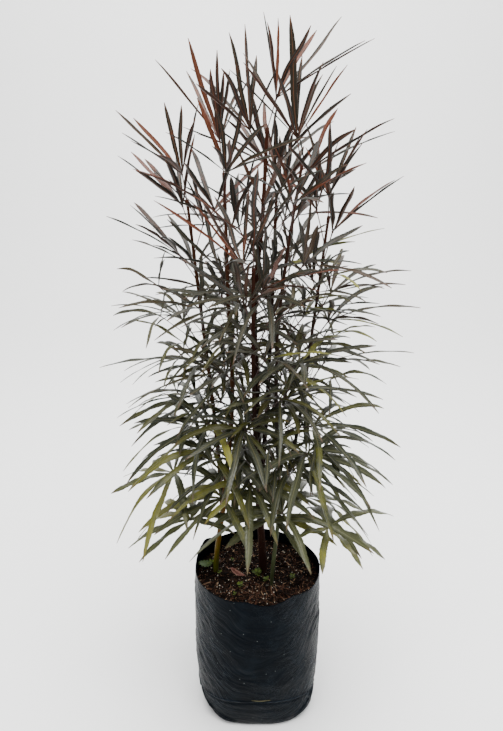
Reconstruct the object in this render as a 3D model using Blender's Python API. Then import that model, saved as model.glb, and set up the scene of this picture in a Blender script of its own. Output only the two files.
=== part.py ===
"""A false aralia in a black nursery bag, at its real size, in metres.

Three canes stand in a bag of thin black film that is filled with bark and peat, and
fork low down into seven shoots. Each shoot carries leaves on long stalks, and each leaf
is a whorl of narrow toothed leaflets at the end of its stalk: broad, green and hanging
near the foot of the plant, thin, bronze and upright near its top. A few seedlings and
one fallen leaflet are on the soil.

The origin is the centre of the bag's base, +Z is up, and -Y faces the viewer.
"""

import math
import random
from dataclasses import dataclass

import bmesh
import bpy
from mathutils import Vector
from mathutils.bvhtree import BVHTree

UP = Vector((0, 0, 1))
DOWN = Vector((0, 0, -1))
# Faces that meet at a smaller angle than this look like one round surface.
SHARP_ANGLE = math.radians(40)

# Bag: film thickness is drawn heavier than real film, so that it is a solid wall.
BAG_HEIGHT = 0.302
FILM = 0.0012
BAG_SIDES = 40
# Height, half width, half depth and squareness of the bag's outside, from its folded base up:
# a squareness of 2 is round. The film is creased all round at 52 mm.
BAG_PROFILE = (
    (0.000, 0.1000, 0.0830, 2.8),
    (0.005, 0.1060, 0.0875, 2.8),
    (0.015, 0.1090, 0.0920, 2.7),
    (0.042, 0.1115, 0.0990, 2.5),
    (0.052, 0.1097, 0.0980, 2.5),
    (0.062, 0.1125, 0.1030, 2.4),
    (0.120, 0.1165, 0.1120, 2.2),
    (0.210, 0.1165, 0.1155, 2.0),
)
BAG_RIM = (None, 0.1140, 0.1145, 2.0)
# Bumps and dips of the cut rim: direction in degrees, height, half width in degrees.
RIM_BUMPS = ((143, 0.011, 13), (-100, 0.007, 11), (-60, 0.005, 12), (25, -0.004, 15))

# Soil
FIT_GAP = 0.0004
SOIL_LEVEL = 0.281
SOIL_DOME = 0.004
SOIL_RINGS = (1.0, 0.82, 0.55, 0.25)
ROOTING_DEPTH = 0.090

# Canes and their shoots. A path gives points of the centre line from the soil, or the fork, to the tip.
CANE_TIP_RADIUS = 0.0025
CANE_SIDES = 6
STATION_STEP = 0.075
LOWEST_LEAF = 0.425
LEAVES_PER_SHOOT = 13


@dataclass
class Shoot:
    node: str
    radius: float
    path: tuple

    def is_rooted(self):
        return self.path[0][2] == SOIL_LEVEL


SHOOTS = (
    Shoot(
        "cane_left",
        0.0056,
        (
            (-0.077, 0.005, SOIL_LEVEL),
            (-0.060, -0.004, 0.44),
            (-0.043, -0.012, 0.64),
            (-0.047, -0.014, 0.80),
            (-0.052, -0.012, 1.015),
        ),
    ),
    Shoot(
        "cane_centre",
        0.0070,
        (
            (0.010, 0.006, SOIL_LEVEL),
            (0.002, 0.004, 0.45),
            (-0.002, 0.0, 0.64),
            (-0.006, 0.0, 0.80),
            (0.006, 0.0, 0.95),
            (0.012, 0.0, 1.078),
        ),
    ),
    Shoot(
        "cane_right",
        0.0044,
        (
            (0.025, -0.038, SOIL_LEVEL),
            (0.036, -0.034, 0.44),
            (0.030, -0.030, 0.64),
            (0.030, -0.028, 0.76),
            (0.044, -0.026, 0.90),
            (0.063, -0.024, 1.03),
        ),
    ),
    Shoot(
        "cane_centre",
        0.0046,
        ((0.004, 0.004, 0.40), (0.016, 0.050, 0.60), (0.024, 0.078, 0.80), (0.030, 0.092, 0.97)),
    ),
    Shoot(
        "cane_left",
        0.0044,
        ((-0.063, -0.003, 0.40), (-0.072, 0.020, 0.56), (-0.092, 0.036, 0.76), (-0.112, 0.040, 0.965)),
    ),
    Shoot(
        "cane_centre",
        0.0042,
        ((0.005, 0.005, 0.37), (-0.004, -0.034, 0.56), (-0.008, -0.066, 0.72), (-0.008, -0.086, 0.89)),
    ),
    Shoot(
        "cane_right",
        0.0038,
        ((0.036, -0.034, 0.42), (0.066, -0.010, 0.58), (0.088, 0.006, 0.76), (0.108, 0.012, 0.945)),
    ),
)

# Leaves: each pair is the value at the lowest leaf and at the tip of the shoot.
STALK_LENGTH = (0.088, 0.052)
STALK_RISE = (14.0, 74.0)
STALK_SAG = (0.25, 0.08)
STALK_RADIUS = (0.0016, 0.0010)
WHORL_TILT = (24.0, 20.0)
WHORL_OPENING = (78.0, 34.0)
CLOSEST_OPENING = 20.0
LEAFLET_LENGTH = (0.162, 0.166)
LEAFLET_WIDTH = (0.0146, 0.0068)
LEAFLET_DROOP = (1.45, 0.10)
BLADE_FOOT = 0.32
BLADE_TAPER = 0.60
LEAFLET_KEEL = 0.0013
MAIN_LEAFLETS = 5
INNER_LEAFLET_SHARE = 0.74
WAVE = 0.74
BLADE_STATIONS = (0.10, 0.34, 0.58, 0.82)
STALK_STATIONS = (0.0, 0.28, 0.62, 1.0)
KNUCKLE_RADIUS = 0.0032
ROOT_HALF_WIDTH = 0.0018
GOLDEN_SHARE = 0.381966

# Room that the placing rule keeps free round every stalk, blade and cane.
MARGIN = 0.0011
STALK_TRIES = 12
LEAFLET_TRIES = 14
FEWEST_LEAFLETS = 3

# How far the plant reaches: the lowest tip, how much higher tips stay for each metre that they
# stand out in front of the bag, and the spread of the tips low down and at the top.
LOWEST_TIP = 0.292
FRONT_LIFT = 0.70
REACH = (0.258, 0.205)
REACH_HEIGHTS = (0.80, 1.15)
# From left to right, the part of the bag's mouth that tips stay clear of and so leave in view,
# how much higher they are there, and the strip in the middle of it where some do hang.
MOUTH_SPAN = (-0.105, 0.075)
MOUTH_LIFT = 0.045
HANGING_SPAN = (-0.026, 0.0)

SEED = 7

# Seedlings: place on the soil, height, leaf length, leaf count.
SEEDLINGS = (
    ("seedling_left", (-0.088, 0.028), 0.014, 0.015, 4),
    ("seedling_middle", (-0.002, -0.004), 0.010, 0.012, 5),
    ("seedling_front", (-0.0315, -0.034), 0.008, 0.009, 4),
    ("seedling_stem", (0.015, -0.022), 0.011, 0.009, 4),
    ("seedling_right", (0.064, -0.012), 0.008, 0.009, 4),
)
SEEDLING_STALK = 0.0009

# The fallen leaflet lies curled on the soil, so that only its middle touches.
FALLEN_CENTRE = (-0.037, -0.001)
FALLEN_LENGTH = 0.030
FALLEN_WIDTH = 0.010
FALLEN_THICKNESS = 0.0012
FALLEN_TURN = -38.0
FALLEN_GAP = 0.0003
# Along the leaflet: share of its length, share of its width, and how far it curls up.
FALLEN_STATIONS = (
    (-0.50, 0.10, 0.0042),
    (-0.20, 0.80, 0.0004),
    (0.10, 1.00, 0.0),
    (0.35, 0.60, 0.0022),
    (0.50, 0.08, 0.0060),
)


def mix(pair, share):
    return pair[0] + (pair[1] - pair[0]) * share


def polar(radius, angle, height=0.0):
    return Vector((radius * math.cos(angle), radius * math.sin(angle), height))


def clear_scene():
    for obj in list(bpy.data.objects):
        bpy.data.objects.remove(obj)


def material(name, colour, roughness):
    made = bpy.data.materials.new(name)
    made.use_nodes = True
    shader = made.node_tree.nodes["Principled BSDF"]
    shader.inputs["Base Color"].default_value = (*colour, 1.0)
    shader.inputs["Roughness"].default_value = roughness
    return made


def shade_round(mesh):
    mesh.shade_smooth()
    mesh.set_sharp_from_angle(angle=SHARP_ANGLE)


def object_of(name, bm, finish):
    """One object from a bmesh, in triangles that all face outwards."""
    bmesh.ops.triangulate(bm, faces=bm.faces)
    bmesh.ops.recalc_face_normals(bm, faces=bm.faces)
    mesh = bpy.data.meshes.new(name)
    bm.to_mesh(mesh)
    bm.free()
    obj = bpy.data.objects.new(name, mesh)
    mesh.materials.append(finish)
    shade_round(mesh)
    bpy.context.scene.collection.objects.link(obj)
    return obj


def combine(obj, others, operation):
    """Joins the other objects to this one, or cuts them from it, and removes them."""
    group = bpy.data.collections.new(obj.name + "_parts")
    bpy.context.scene.collection.children.link(group)
    for other in others:
        group.objects.link(other)
    boolean = obj.modifiers.new("combine", "BOOLEAN")
    boolean.operation = operation
    boolean.operand_type = "COLLECTION"
    boolean.collection = group
    boolean.solver = "EXACT"
    boolean.use_self = True
    graph = bpy.context.evaluated_depsgraph_get()
    whole = bpy.data.meshes.new_from_object(obj.evaluated_get(graph))
    obj.modifiers.clear()
    obj.data = whole
    shade_round(whole)
    for other in others:
        bpy.data.objects.remove(other)
    bpy.data.collections.remove(group)


def grow(bm, face, rings):
    """Extrudes a face through rings of points, and returns the last face."""
    for ring in rings:
        face = bmesh.ops.extrude_discrete_faces(bm, faces=[face])["faces"][0]
        for vert, point in zip(face.verts, ring):
            vert.co = point
    return face


def prism(bm, low, high):
    """A closed prism between two rings of points. Returns the low face and the high face."""
    base = [bm.verts.new(point) for point in low]
    top = [bm.verts.new(point) for point in high]
    count = len(low)
    for i in range(count):
        bm.faces.new((base[i], base[(i + 1) % count], top[(i + 1) % count], top[i]))
    return bm.faces.new(base[::-1]), bm.faces.new(top)


# Bag


def rim_height(angle):
    """The cut edge of the film: wavy, with a corner that stands up at the back left."""
    height = BAG_HEIGHT + 0.0010 * math.sin(5 * angle)
    for degrees, bump, spread in RIM_BUMPS:
        away = (math.degrees(angle) - degrees + 180) % 360 - 180
        height += bump * math.exp(-((away / spread) ** 2))
    return height


def bag_ring(row, inset):
    """One ring round the bag. A height of None means the wavy rim."""
    height, half_width, half_depth, squareness = row
    ring = []
    for i in range(BAG_SIDES):
        angle = -math.pi + 2 * math.pi * i / BAG_SIDES
        along = abs(math.cos(angle)) / half_width
        across = abs(math.sin(angle)) / half_depth
        radius = (along**squareness + across**squareness) ** (-1 / squareness)
        z = rim_height(angle) if height is None else height
        ring.append(polar(radius - inset, angle, z))
    return ring


def make_bag(finish):
    """One skin: up the outside, over the rim, down the inside and across the inner floor."""
    bm = bmesh.new()
    base, *outer = [bag_ring(row, 0.0) for row in BAG_PROFILE]
    face = prism(bm, base, outer[0])[1]
    inner = [bag_ring(row, FILM) for row in reversed(BAG_PROFILE[1:])]
    floor = bag_ring((FILM, *BAG_PROFILE[0][1:]), FILM)
    grow(bm, face, [*outer[1:], bag_ring(BAG_RIM, 0.0), bag_ring(BAG_RIM, FILM), *inner, floor])
    return object_of("nursery_bag", bm, finish)


# Canes


def shoot_point(shoot, height):
    """Centre of the shoot at this height: a smooth curve through its path, upright in the soil."""
    path = [Vector(point) for point in shoot.path]
    if height <= path[0].z:
        return Vector((path[0].x, path[0].y, height))
    last = len(path) - 2
    i = min(last, sum(1 for point in path[1:] if point.z < height))
    low, high = path[i], path[i + 1]
    t = (height - low.z) / (high.z - low.z)
    before = path[i - 1] if i else low
    after = path[i + 2] if i < last else high
    # Each slope is the one between the points on either side, so neighbouring spans meet smoothly.
    run = high.z - low.z
    slope_in = (high - before) * (run / (high.z - before.z))
    slope_out = (after - low) * (run / (after.z - low.z))
    if i == 0:
        slope_in = UP * run
    point = (
        low * (2 * t**3 - 3 * t**2 + 1)
        + slope_in * (t**3 - 2 * t**2 + t)
        + high * (3 * t**2 - 2 * t**3)
        + slope_out * (t**3 - t**2)
    )
    point.z = height
    return point


def shoot_radius(shoot, height):
    low, high = shoot.path[0][2], shoot.path[-1][2]
    return mix((shoot.radius, CANE_TIP_RADIUS), max(0.0, (height - low) / (high - low)))


def shoot_ring(shoot, height, extra=0.0):
    centre = shoot_point(shoot, height)
    radius = shoot_radius(shoot, height) + extra
    return [centre + polar(radius, 2 * math.pi * i / CANE_SIDES) for i in range(CANE_SIDES)]


def shoot_heights(shoot):
    """From the foot in the soil, or the fork, to the tip."""
    low, high = shoot.path[0][2], shoot.path[-1][2]
    count = round((high - low) / STATION_STEP)
    above = [mix((low, high), i / count) for i in range(count + 1)]
    return [SOIL_LEVEL - ROOTING_DEPTH, *above] if shoot.is_rooted() else above


def make_shoot(name, shoot, finish):
    bm = bmesh.new()
    rings = [shoot_ring(shoot, height) for height in shoot_heights(shoot)]
    grow(bm, prism(bm, rings[0], rings[1])[1], rings[2:])
    return object_of(name, bm, finish)


# Leaves


@dataclass
class Stalk:
    """A leaf stalk, sagging a little from a straight line."""

    start: Vector
    heading: Vector
    length: float
    sag: float
    radius: float

    def at(self, t):
        return self.start + (self.heading * t + DOWN * (self.sag * t * t / 2)) * self.length

    def shell(self):
        """Rings of a slightly thicker stalk with its knuckle, for the test that keeps leaves apart."""
        rings = [self.ring(t, 4, MARGIN) for t in STALK_STATIONS]
        return [*rings, self.ring(1.0, 4, KNUCKLE_RADIUS), self.ring(1.04, 4, KNUCKLE_RADIUS)]

    def ring(self, t, sides=3, extra=0.0):
        across = self.heading.cross(UP).normalized()
        over = across.cross(self.heading).normalized()
        radius = self.radius * (1.25 - 0.25 * t) + extra
        turns = [2 * math.pi * i / sides for i in range(sides)]
        return [self.at(t) + (across * math.cos(a) + over * math.sin(a)) * radius for a in turns]


@dataclass
class Blade:
    """A leaflet: its midrib is an arch that gravity bends, and its two halves differ in width."""

    start: Vector
    heading: Vector
    side: Vector
    length: float
    width: float
    droop: float
    sway: float

    def at(self, t):
        bend = DOWN * (self.droop * t * t / 2) + self.side * (self.sway * t * t / 2)
        return self.start + (self.heading * t + bend) * self.length

    def frame(self, t):
        """The width direction and the upper face's direction."""
        along = (self.heading + DOWN * (self.droop * t) + self.side * (self.sway * t)).normalized()
        across = (self.side - along * self.side.dot(along)).normalized()
        return across, along.cross(across)

    def half_width(self, t):
        """Narrow at the foot, then strap shaped, then drawn out to a fine tip."""
        foot = min(1.0, t / BLADE_FOOT) ** 1.1
        tip = 1.0 - max(0.0, (t - BLADE_TAPER) / (1.0 - BLADE_TAPER)) ** 2.2
        return 0.5 * self.width * foot * tip

    def ring(self, station):
        """Left edge, right edge and keel. The edges swell by turns, so the outline waves."""
        t = BLADE_STATIONS[station]
        across, over = self.frame(t)
        half = self.half_width(t)
        left, right = (1.0, WAVE) if station % 2 else (WAVE, 1.0)
        keel = LEAFLET_KEEL * (1.0 - 0.5 * t)
        centre = self.at(t)
        return [centre + across * half * left, centre - across * half * right, centre - over * keel]

    def shell(self):
        """Rings of a slightly larger blade, for the test that keeps blades apart."""
        rings = []
        for t in (0.02, *BLADE_STATIONS, 1.0):
            across, over = self.frame(t)
            half = max(ROOT_HALF_WIDTH * (1 - t), self.half_width(t)) + MARGIN
            centre = self.at(t)
            below = over * (LEAFLET_KEEL + MARGIN)
            edges = centre + across * half, centre - across * half
            rings.append([edges[0], centre + over * MARGIN, edges[1], centre - below])
        return rings


@dataclass
class Whorl:
    """The end of a stalk: the axis that its leaflets spread round, and two directions across it."""

    centre: Vector
    axis: Vector
    out: Vector
    side: Vector

    def around(self, angle):
        return self.out * math.cos(angle) + self.side * math.sin(angle)


@dataclass
class Leaf:
    stalk: Stalk
    whorl: Whorl
    blades: list


def tree_of(rings):
    """A search tree of the tube through rings of points."""
    sides = len(rings[0])
    points = [point for ring in rings for point in ring]
    quads = []
    for row in range(len(rings) - 1):
        for i in range(sides):
            a = row * sides + i
            b = row * sides + (i + 1) % sides
            quads.append((a, b, b + sides, a + sides))
    return BVHTree.FromPolygons(points, quads)


def is_clear(tree, others):
    return not any(tree.overlap(other) for other in others)


def whorl_of(stalk, azimuth, tilt):
    """The whorl at a stalk's end, its axis tilted outwards from upright."""
    outward = polar(1.0, azimuth)
    axis = outward * math.sin(tilt) + UP * math.cos(tilt)
    out = outward * math.cos(tilt) - UP * math.sin(tilt)
    return Whorl(stalk.at(1.0), axis, out, axis.cross(out))


def draw_blade(draw, whorl, turn, share, size, strain):
    """One leaflet of a whorl. Strain, from 0 to 1, lets it stray and shorten to find room."""
    stray = 9 * (1 + strain)
    turn += math.radians(draw.uniform(-9, 9))
    opening = mix(WHORL_OPENING, share**0.85) + draw.uniform(-stray, stray)
    opening = math.radians(max(CLOSEST_OPENING, opening))
    radial = whorl.around(turn)
    inward = (1 - math.cos(turn)) / 2
    length = size * mix((1.0, INNER_LEAFLET_SHARE), inward) * draw.uniform(0.90, 1.08) * (1 - 0.3 * strain)
    return Blade(
        start=whorl.centre,
        heading=whorl.axis * math.cos(opening) + radial * math.sin(opening),
        side=whorl.axis.cross(radial),
        length=length,
        width=mix(LEAFLET_WIDTH, share**0.75) * draw.uniform(0.86, 1.12),
        droop=mix(LEAFLET_DROOP, share**0.8) * draw.uniform(0.6, 1.3) * (1 - 0.6 * strain),
        sway=draw.uniform(-0.22, 0.22),
    )


def draw_stalk(draw, shoot, height, share, azimuth, strain):
    rise = math.radians(mix(STALK_RISE, share**0.65) + draw.uniform(-7, 7))
    return Stalk(
        start=shoot_point(shoot, height),
        heading=polar(math.cos(rise), azimuth, math.sin(rise)),
        length=mix(STALK_LENGTH, share) * draw.uniform(0.82, 1.15) * (1 - 0.45 * strain),
        sag=mix(STALK_SAG, share),
        radius=mix(STALK_RADIUS, share),
    )


def draw_leaf(draw, shoot, number, taken, own_stems):
    """The first leaf found that is clear of what is already there, or None.

    Its stalk may start in its own stems.
    """
    share = number / (LEAVES_PER_SHOOT - 1)
    top = shoot.path[-1][2] - 0.004
    height = mix((LOWEST_LEAF, top), share**0.95) + draw.uniform(-0.006, 0.006) * (1 - share)
    tip = Vector(shoot.path[-1][:2])
    is_outer = tip.length > 0.03
    facing = math.atan2(tip.y, tip.x) if is_outer else -math.pi / 2
    spread = math.radians(125) if is_outer else math.pi
    step = ((number * GOLDEN_SHARE + 7 * tip.x) % 1.0) * 2 - 1
    for attempt in range(STALK_TRIES):
        azimuth = facing + step * spread + math.radians(draw.uniform(-1, 1) * (8 + 11 * attempt))
        stalk = draw_stalk(draw, shoot, height, share, azimuth, attempt / (STALK_TRIES - 1))
        stalk_tree = tree_of(stalk.shell())
        if not is_clear(stalk_tree, [tree for tree in taken if tree not in own_stems]):
            continue
        tilt = math.radians(mix(WHORL_TILT, share) + draw.uniform(-12, 12))
        whorl = whorl_of(stalk, azimuth, tilt)
        size = mix(LEAFLET_LENGTH, share) * draw.uniform(0.9, 1.1)
        blades, trees, ends = [], [stalk_tree], [stalk_tree]
        for i in range(MAIN_LEAFLETS):
            blades.append(None)
            for nudge in range(LEAFLET_TRIES):
                turn = 2 * math.pi * i / MAIN_LEAFLETS
                blade = draw_blade(draw, whorl, turn, share, size, nudge / (LEAFLET_TRIES - 1))
                tree, end = tree_of(blade.shell()), tree_of(blade.shell()[2:])
                if is_in_reach(blade) and is_clear(tree, taken) and is_clear(end, ends):
                    blades[i] = blade
                    trees.append(tree)
                    ends.append(end)
                    break
        if len(trees) > FEWEST_LEAFLETS:
            taken.extend(trees)
            return Leaf(stalk, whorl, blades)
    return None


def is_in_reach(blade):
    tip = blade.at(1.0)
    rise = (tip.z - REACH_HEIGHTS[0]) / (REACH_HEIGHTS[1] - REACH_HEIGHTS[0])
    lowest = LOWEST_TIP + FRONT_LIFT * max(0.0, -tip.y)
    is_over_mouth = MOUTH_SPAN[0] < tip.x < MOUTH_SPAN[1]
    if is_over_mouth and not HANGING_SPAN[0] < tip.x < HANGING_SPAN[1]:
        lowest += MOUTH_LIFT
    return tip.z > lowest and math.hypot(tip.x, tip.y) < mix(REACH, min(1.0, max(0.0, rise)))


def pot_shape():
    """A plain drum over the bag and its mouth, which no leaf may enter."""
    sides = 16
    radius, top = BAG_PROFILE[-1][1] + 0.005, BAG_HEIGHT + 0.012
    rings = []
    for reach, height in ((radius, 0.0), (radius, top), (radius / 2, top), (0.001, top)):
        rings.append([polar(reach, 2 * math.pi * i / sides, height) for i in range(sides)])
    return tree_of(rings)


def draw_foliage():
    """The leaves of each shoot, from the lowest up. The same seed always gives the same plant."""
    draw = random.Random(SEED)
    stems = [tree_of([shoot_ring(shoot, z, MARGIN) for z in shoot_heights(shoot)]) for shoot in SHOOTS]
    taken = [pot_shape(), *stems]
    foliage = [[] for _ in SHOOTS]
    for number in range(LEAVES_PER_SHOOT):
        for shoot, leaves in zip(SHOOTS, foliage):
            own_stems = [stem for stem, other in zip(stems, SHOOTS) if other.node == shoot.node]
            leaf = draw_leaf(draw, shoot, number, taken, own_stems)
            if leaf:
                leaves.append(leaf)
    return foliage


def hub_faces(bm, whorl, count, radius, foot_ring):
    """The knuckle between a stalk and its leaflets. Returns its underside and one root face a leaflet."""
    half = math.pi / count
    crown = whorl.centre + whorl.axis * radius * 0.4
    top = [bm.verts.new(crown + whorl.around(2 * half * i - half) * radius) for i in range(count)]
    under = [bm.verts.new(point) for point in foot_ring]
    bm.faces.new(top)
    nearest = []
    for i in range(count):
        middle = whorl.around(2 * half * i)
        nearest.append(max(range(3), key=lambda j: (foot_ring[j] - whorl.centre).dot(middle)))
    roots = []
    for i in range(count):
        after = (i + 1) % count
        roots.append(bm.faces.new((top[after], top[i], under[nearest[i]])))
        if nearest[after] != nearest[i]:
            bm.faces.new((top[after], under[nearest[i]], under[nearest[after]]))
    return bm.faces.new(under[::-1]), roots


def make_leaf(name, leaf, finish):
    """Stalk, knuckle and leaflets as one closed body, its foot sunk in the cane."""
    bm = bmesh.new()
    count = len(leaf.blades)
    radius = 1.7 * leaf.stalk.radius + 0.0004
    whorl = leaf.whorl
    below = whorl.centre - whorl.axis * radius
    foot_ring = [below + whorl.around(2 * math.pi * j / 3) * leaf.stalk.radius * 1.1 for j in range(3)]
    underside, roots = hub_faces(bm, whorl, count, radius, foot_ring)
    stalk_rings = []
    for t in reversed(STALK_STATIONS[:-1]):
        ring = leaf.stalk.ring(t)
        first = min(range(3), key=lambda j: (ring[j] - leaf.stalk.at(t)).dot(-whorl.out))
        stalk_rings.append([ring[(first - j) % 3] for j in (2, 1, 0)])
    grow(bm, underside, stalk_rings)
    for root, blade in zip(roots, leaf.blades):
        if blade is None:
            continue
        face = grow(bm, root, [blade.ring(i) for i in range(len(BLADE_STATIONS))])
        bmesh.ops.pointmerge(bm, verts=face.verts[:], merge_co=blade.at(1.0))
    return object_of(name, bm, finish)


# Soil, with a plain hole for each stem


def soil_height(x, y):
    """A low dome with the small hollows and lumps of loose bark."""
    dome = SOIL_DOME * (1 - (x * x + y * y) / BAG_RIM[1] ** 2)
    lumps = 0.0016 * math.sin(95 * x + 1) * math.cos(83 * y) + 0.0010 * math.sin(140 * y + 60 * x)
    return SOIL_LEVEL + dome + lumps


def make_soil(finish):
    """The root ball fills the bag with a small gap all round, and its top is loose and uneven."""
    bm = bmesh.new()
    inset = FILM + FIT_GAP
    base = bag_ring((inset, *BAG_PROFILE[0][1:]), inset)
    sides = [bag_ring(row, inset) for row in BAG_PROFILE[1:]]
    face = grow(bm, prism(bm, base, sides[0])[1], sides[1:])
    edge = bag_ring(BAG_RIM, inset)
    rings = []
    for share in SOIL_RINGS:
        ring = [point * share for point in edge]
        for point in ring:
            point.z = soil_height(point.x, point.y)
        rings.append(ring)
    grow(bm, face, rings)
    return object_of("soil", bm, finish)


def hole_cutter(name, low, high, finish):
    bm = bmesh.new()
    prism(bm, low, high)
    return object_of(name, bm, finish)


def cane_hole(shoot, finish):
    low = shoot_ring(shoot, SOIL_LEVEL - ROOTING_DEPTH - FIT_GAP, FIT_GAP)
    high = [Vector((point.x, point.y, SOIL_LEVEL + 3 * SOIL_DOME)) for point in low]
    return hole_cutter(shoot.node + "_hole", low, high, finish)


# Seedlings and the fallen leaflet


def seedling_ring(place, height, radius):
    return [Vector((*place, height)) + polar(radius, 2 * math.pi * i / 3) for i in range(3)]


def make_seedling(name, place, height, length, count, finish):
    """A weed seedling: a thin stalk in a hole of its own and a rosette of short broad leaves."""
    top = Vector((*place, soil_height(*place) + height))
    whorl = Whorl(top, UP.copy(), Vector((1, 0, 0)), Vector((0, 1, 0)))
    bm = bmesh.new()
    foot_ring = [point - UP * SEEDLING_STALK for point in seedling_ring(place, top.z, SEEDLING_STALK)]
    underside, roots = hub_faces(bm, whorl, count, 1.6 * SEEDLING_STALK, foot_ring)
    buried = seedling_ring(place, SOIL_LEVEL - 0.004, SEEDLING_STALK)
    grow(bm, underside, [[buried[j] for j in (2, 1, 0)]])
    for i, root in enumerate(roots):
        radial = whorl.around(2 * math.pi * i / count)
        heading = radial * 0.94 + UP * 0.34
        blade = Blade(top, heading, UP.cross(radial), length, 0.62 * length, 0.5, 0.0)
        face = grow(bm, root, [blade.ring(j) for j in range(len(BLADE_STATIONS))])
        bmesh.ops.pointmerge(bm, verts=face.verts[:], merge_co=blade.at(1.0))
    return object_of(name, bm, finish)


def seedling_hole(name, place, finish):
    radius = SEEDLING_STALK + 2 * FIT_GAP
    low = seedling_ring(place, SOIL_LEVEL - 0.004 - FIT_GAP, radius)
    high = seedling_ring(place, SOIL_LEVEL + 3 * SOIL_DOME, radius)
    return hole_cutter(name + "_hole", low, high, finish)


def between(ring, after, share):
    """Points across a ring's underside, part of the way to the next ring."""
    left, right = (mix((ring[side], after[side]), share) for side in (0, 1))
    return left, (left + right) / 2, right


def make_fallen_leaflet(soil, finish):
    """A dry piece of a leaflet, laid on the soil so that its underside just clears it."""
    along = polar(1.0, math.radians(FALLEN_TURN))
    across = UP.cross(along)
    rings = []
    for share, width, curl in FALLEN_STATIONS:
        centre = Vector((*FALLEN_CENTRE, curl)) + along * FALLEN_LENGTH * share
        half = across * FALLEN_WIDTH / 2 * width
        rings.append([centre + half, centre - half, centre + UP * FALLEN_THICKNESS])
    faces = [tuple(face.vertices) for face in soil.data.polygons]
    ground = BVHTree.FromPolygons([vert.co for vert in soil.data.vertices], faces)
    lift = 0.0
    for ring, after in zip(rings, rings[1:]):
        for share in (0.0, 0.25, 0.5, 0.75):
            for point in between(ring, after, share):
                below = ground.ray_cast(point + UP, DOWN)[0]
                lift = max(lift, below.z - point.z)
    rings = [[point + UP * (lift + FALLEN_GAP) for point in ring] for ring in rings]
    bm = bmesh.new()
    grow(bm, prism(bm, rings[0], rings[1])[1], rings[2:])
    return object_of("fallen_leaflet", bm, finish)


def build():
    clear_scene()
    film = material("black_polythene_film", (0.012, 0.015, 0.019), 0.35)
    bark_mix = material("bark_and_peat", (0.045, 0.022, 0.012), 0.95)
    foliage_finish = material("bronze_green_foliage", (0.085, 0.090, 0.050), 0.50)
    weed = material("seedling_green", (0.080, 0.180, 0.040), 0.50)
    dry = material("dry_leaf", (0.300, 0.100, 0.060), 0.80)

    make_bag(film)
    foliage = draw_foliage()
    pieces = {}
    for number, (shoot, leaves) in enumerate(zip(SHOOTS, foliage)):
        found = pieces.setdefault(shoot.node, [])
        found.append(make_shoot(f"shoot_{number}", shoot, foliage_finish))
        found += [make_leaf(f"leaf_{number}_{i}", leaf, foliage_finish) for i, leaf in enumerate(leaves)]
    for node, (stem, *others) in pieces.items():
        combine(stem, others, "UNION")
        stem.name = node

    soil = make_soil(bark_mix)
    holes = [cane_hole(shoot, bark_mix) for shoot in SHOOTS if shoot.is_rooted()]
    holes += [seedling_hole(name, place, bark_mix) for name, place, *_ in SEEDLINGS]
    combine(soil, holes, "DIFFERENCE")
    for name, place, height, length, count in SEEDLINGS:
        make_seedling(name, place, height, length, count, weed)
    make_fallen_leaflet(soil, dry)


build()
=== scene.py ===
"""Looks of a potted false aralia: film bag, potting mix, three canes, whorled leaves, weeds."""

import math
import random
from dataclasses import dataclass
from functools import partial

import bmesh
import bpy
from mathutils import Matrix, Vector, noise
from mathutils.bvhtree import BVHTree


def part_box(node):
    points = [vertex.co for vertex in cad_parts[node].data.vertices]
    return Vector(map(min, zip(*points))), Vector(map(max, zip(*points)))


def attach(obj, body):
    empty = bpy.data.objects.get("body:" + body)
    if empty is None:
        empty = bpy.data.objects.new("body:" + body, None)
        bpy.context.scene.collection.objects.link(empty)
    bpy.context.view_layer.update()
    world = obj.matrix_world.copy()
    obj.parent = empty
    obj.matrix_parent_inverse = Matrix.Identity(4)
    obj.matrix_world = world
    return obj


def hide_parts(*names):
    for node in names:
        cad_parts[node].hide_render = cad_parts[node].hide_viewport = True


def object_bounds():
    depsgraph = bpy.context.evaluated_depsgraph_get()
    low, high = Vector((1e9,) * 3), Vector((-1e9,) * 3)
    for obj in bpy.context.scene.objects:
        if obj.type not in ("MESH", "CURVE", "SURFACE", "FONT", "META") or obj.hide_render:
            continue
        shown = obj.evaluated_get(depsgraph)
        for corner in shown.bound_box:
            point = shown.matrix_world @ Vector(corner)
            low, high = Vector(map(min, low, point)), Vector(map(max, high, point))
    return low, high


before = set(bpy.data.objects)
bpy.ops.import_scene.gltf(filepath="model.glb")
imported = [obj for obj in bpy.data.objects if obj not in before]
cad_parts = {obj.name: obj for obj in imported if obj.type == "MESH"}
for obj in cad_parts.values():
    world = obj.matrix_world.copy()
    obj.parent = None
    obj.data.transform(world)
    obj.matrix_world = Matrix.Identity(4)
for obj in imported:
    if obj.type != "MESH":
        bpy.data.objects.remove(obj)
cad_box = [list(corner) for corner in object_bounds()]

# Camera, light and floor
# The camera stands a long step in front of the plant at its top's height and looks down at it.
# The light is a wide soft box above and two weak ones at the sides. The paper floor sweeps up
# behind the plant, and a last box lights it there.
CAMERA_PLACE = (-0.011, -1.214, 1.212)
# How far below the level it looks, in degrees.
CAMERA_DIP = 22.86
CAMERA_LENS = 39.4

eye = bpy.data.objects.new("camera", bpy.data.cameras.new("camera"))
eye.location = CAMERA_PLACE
eye.rotation_euler = (math.radians(90 - CAMERA_DIP), 0, 0)
eye.data.lens = CAMERA_LENS
bpy.context.scene.collection.objects.link(eye)
bpy.context.scene.camera = eye


def linear(hex_colour):
    """The linear RGBA of an sRGB hex colour."""
    channels = [int(hex_colour[i : i + 2], 16) / 255 for i in (1, 3, 5)]
    return (*(c / 12.92 if c <= 0.04045 else ((c + 0.055) / 1.055) ** 2.4 for c in channels), 1.0)


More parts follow.
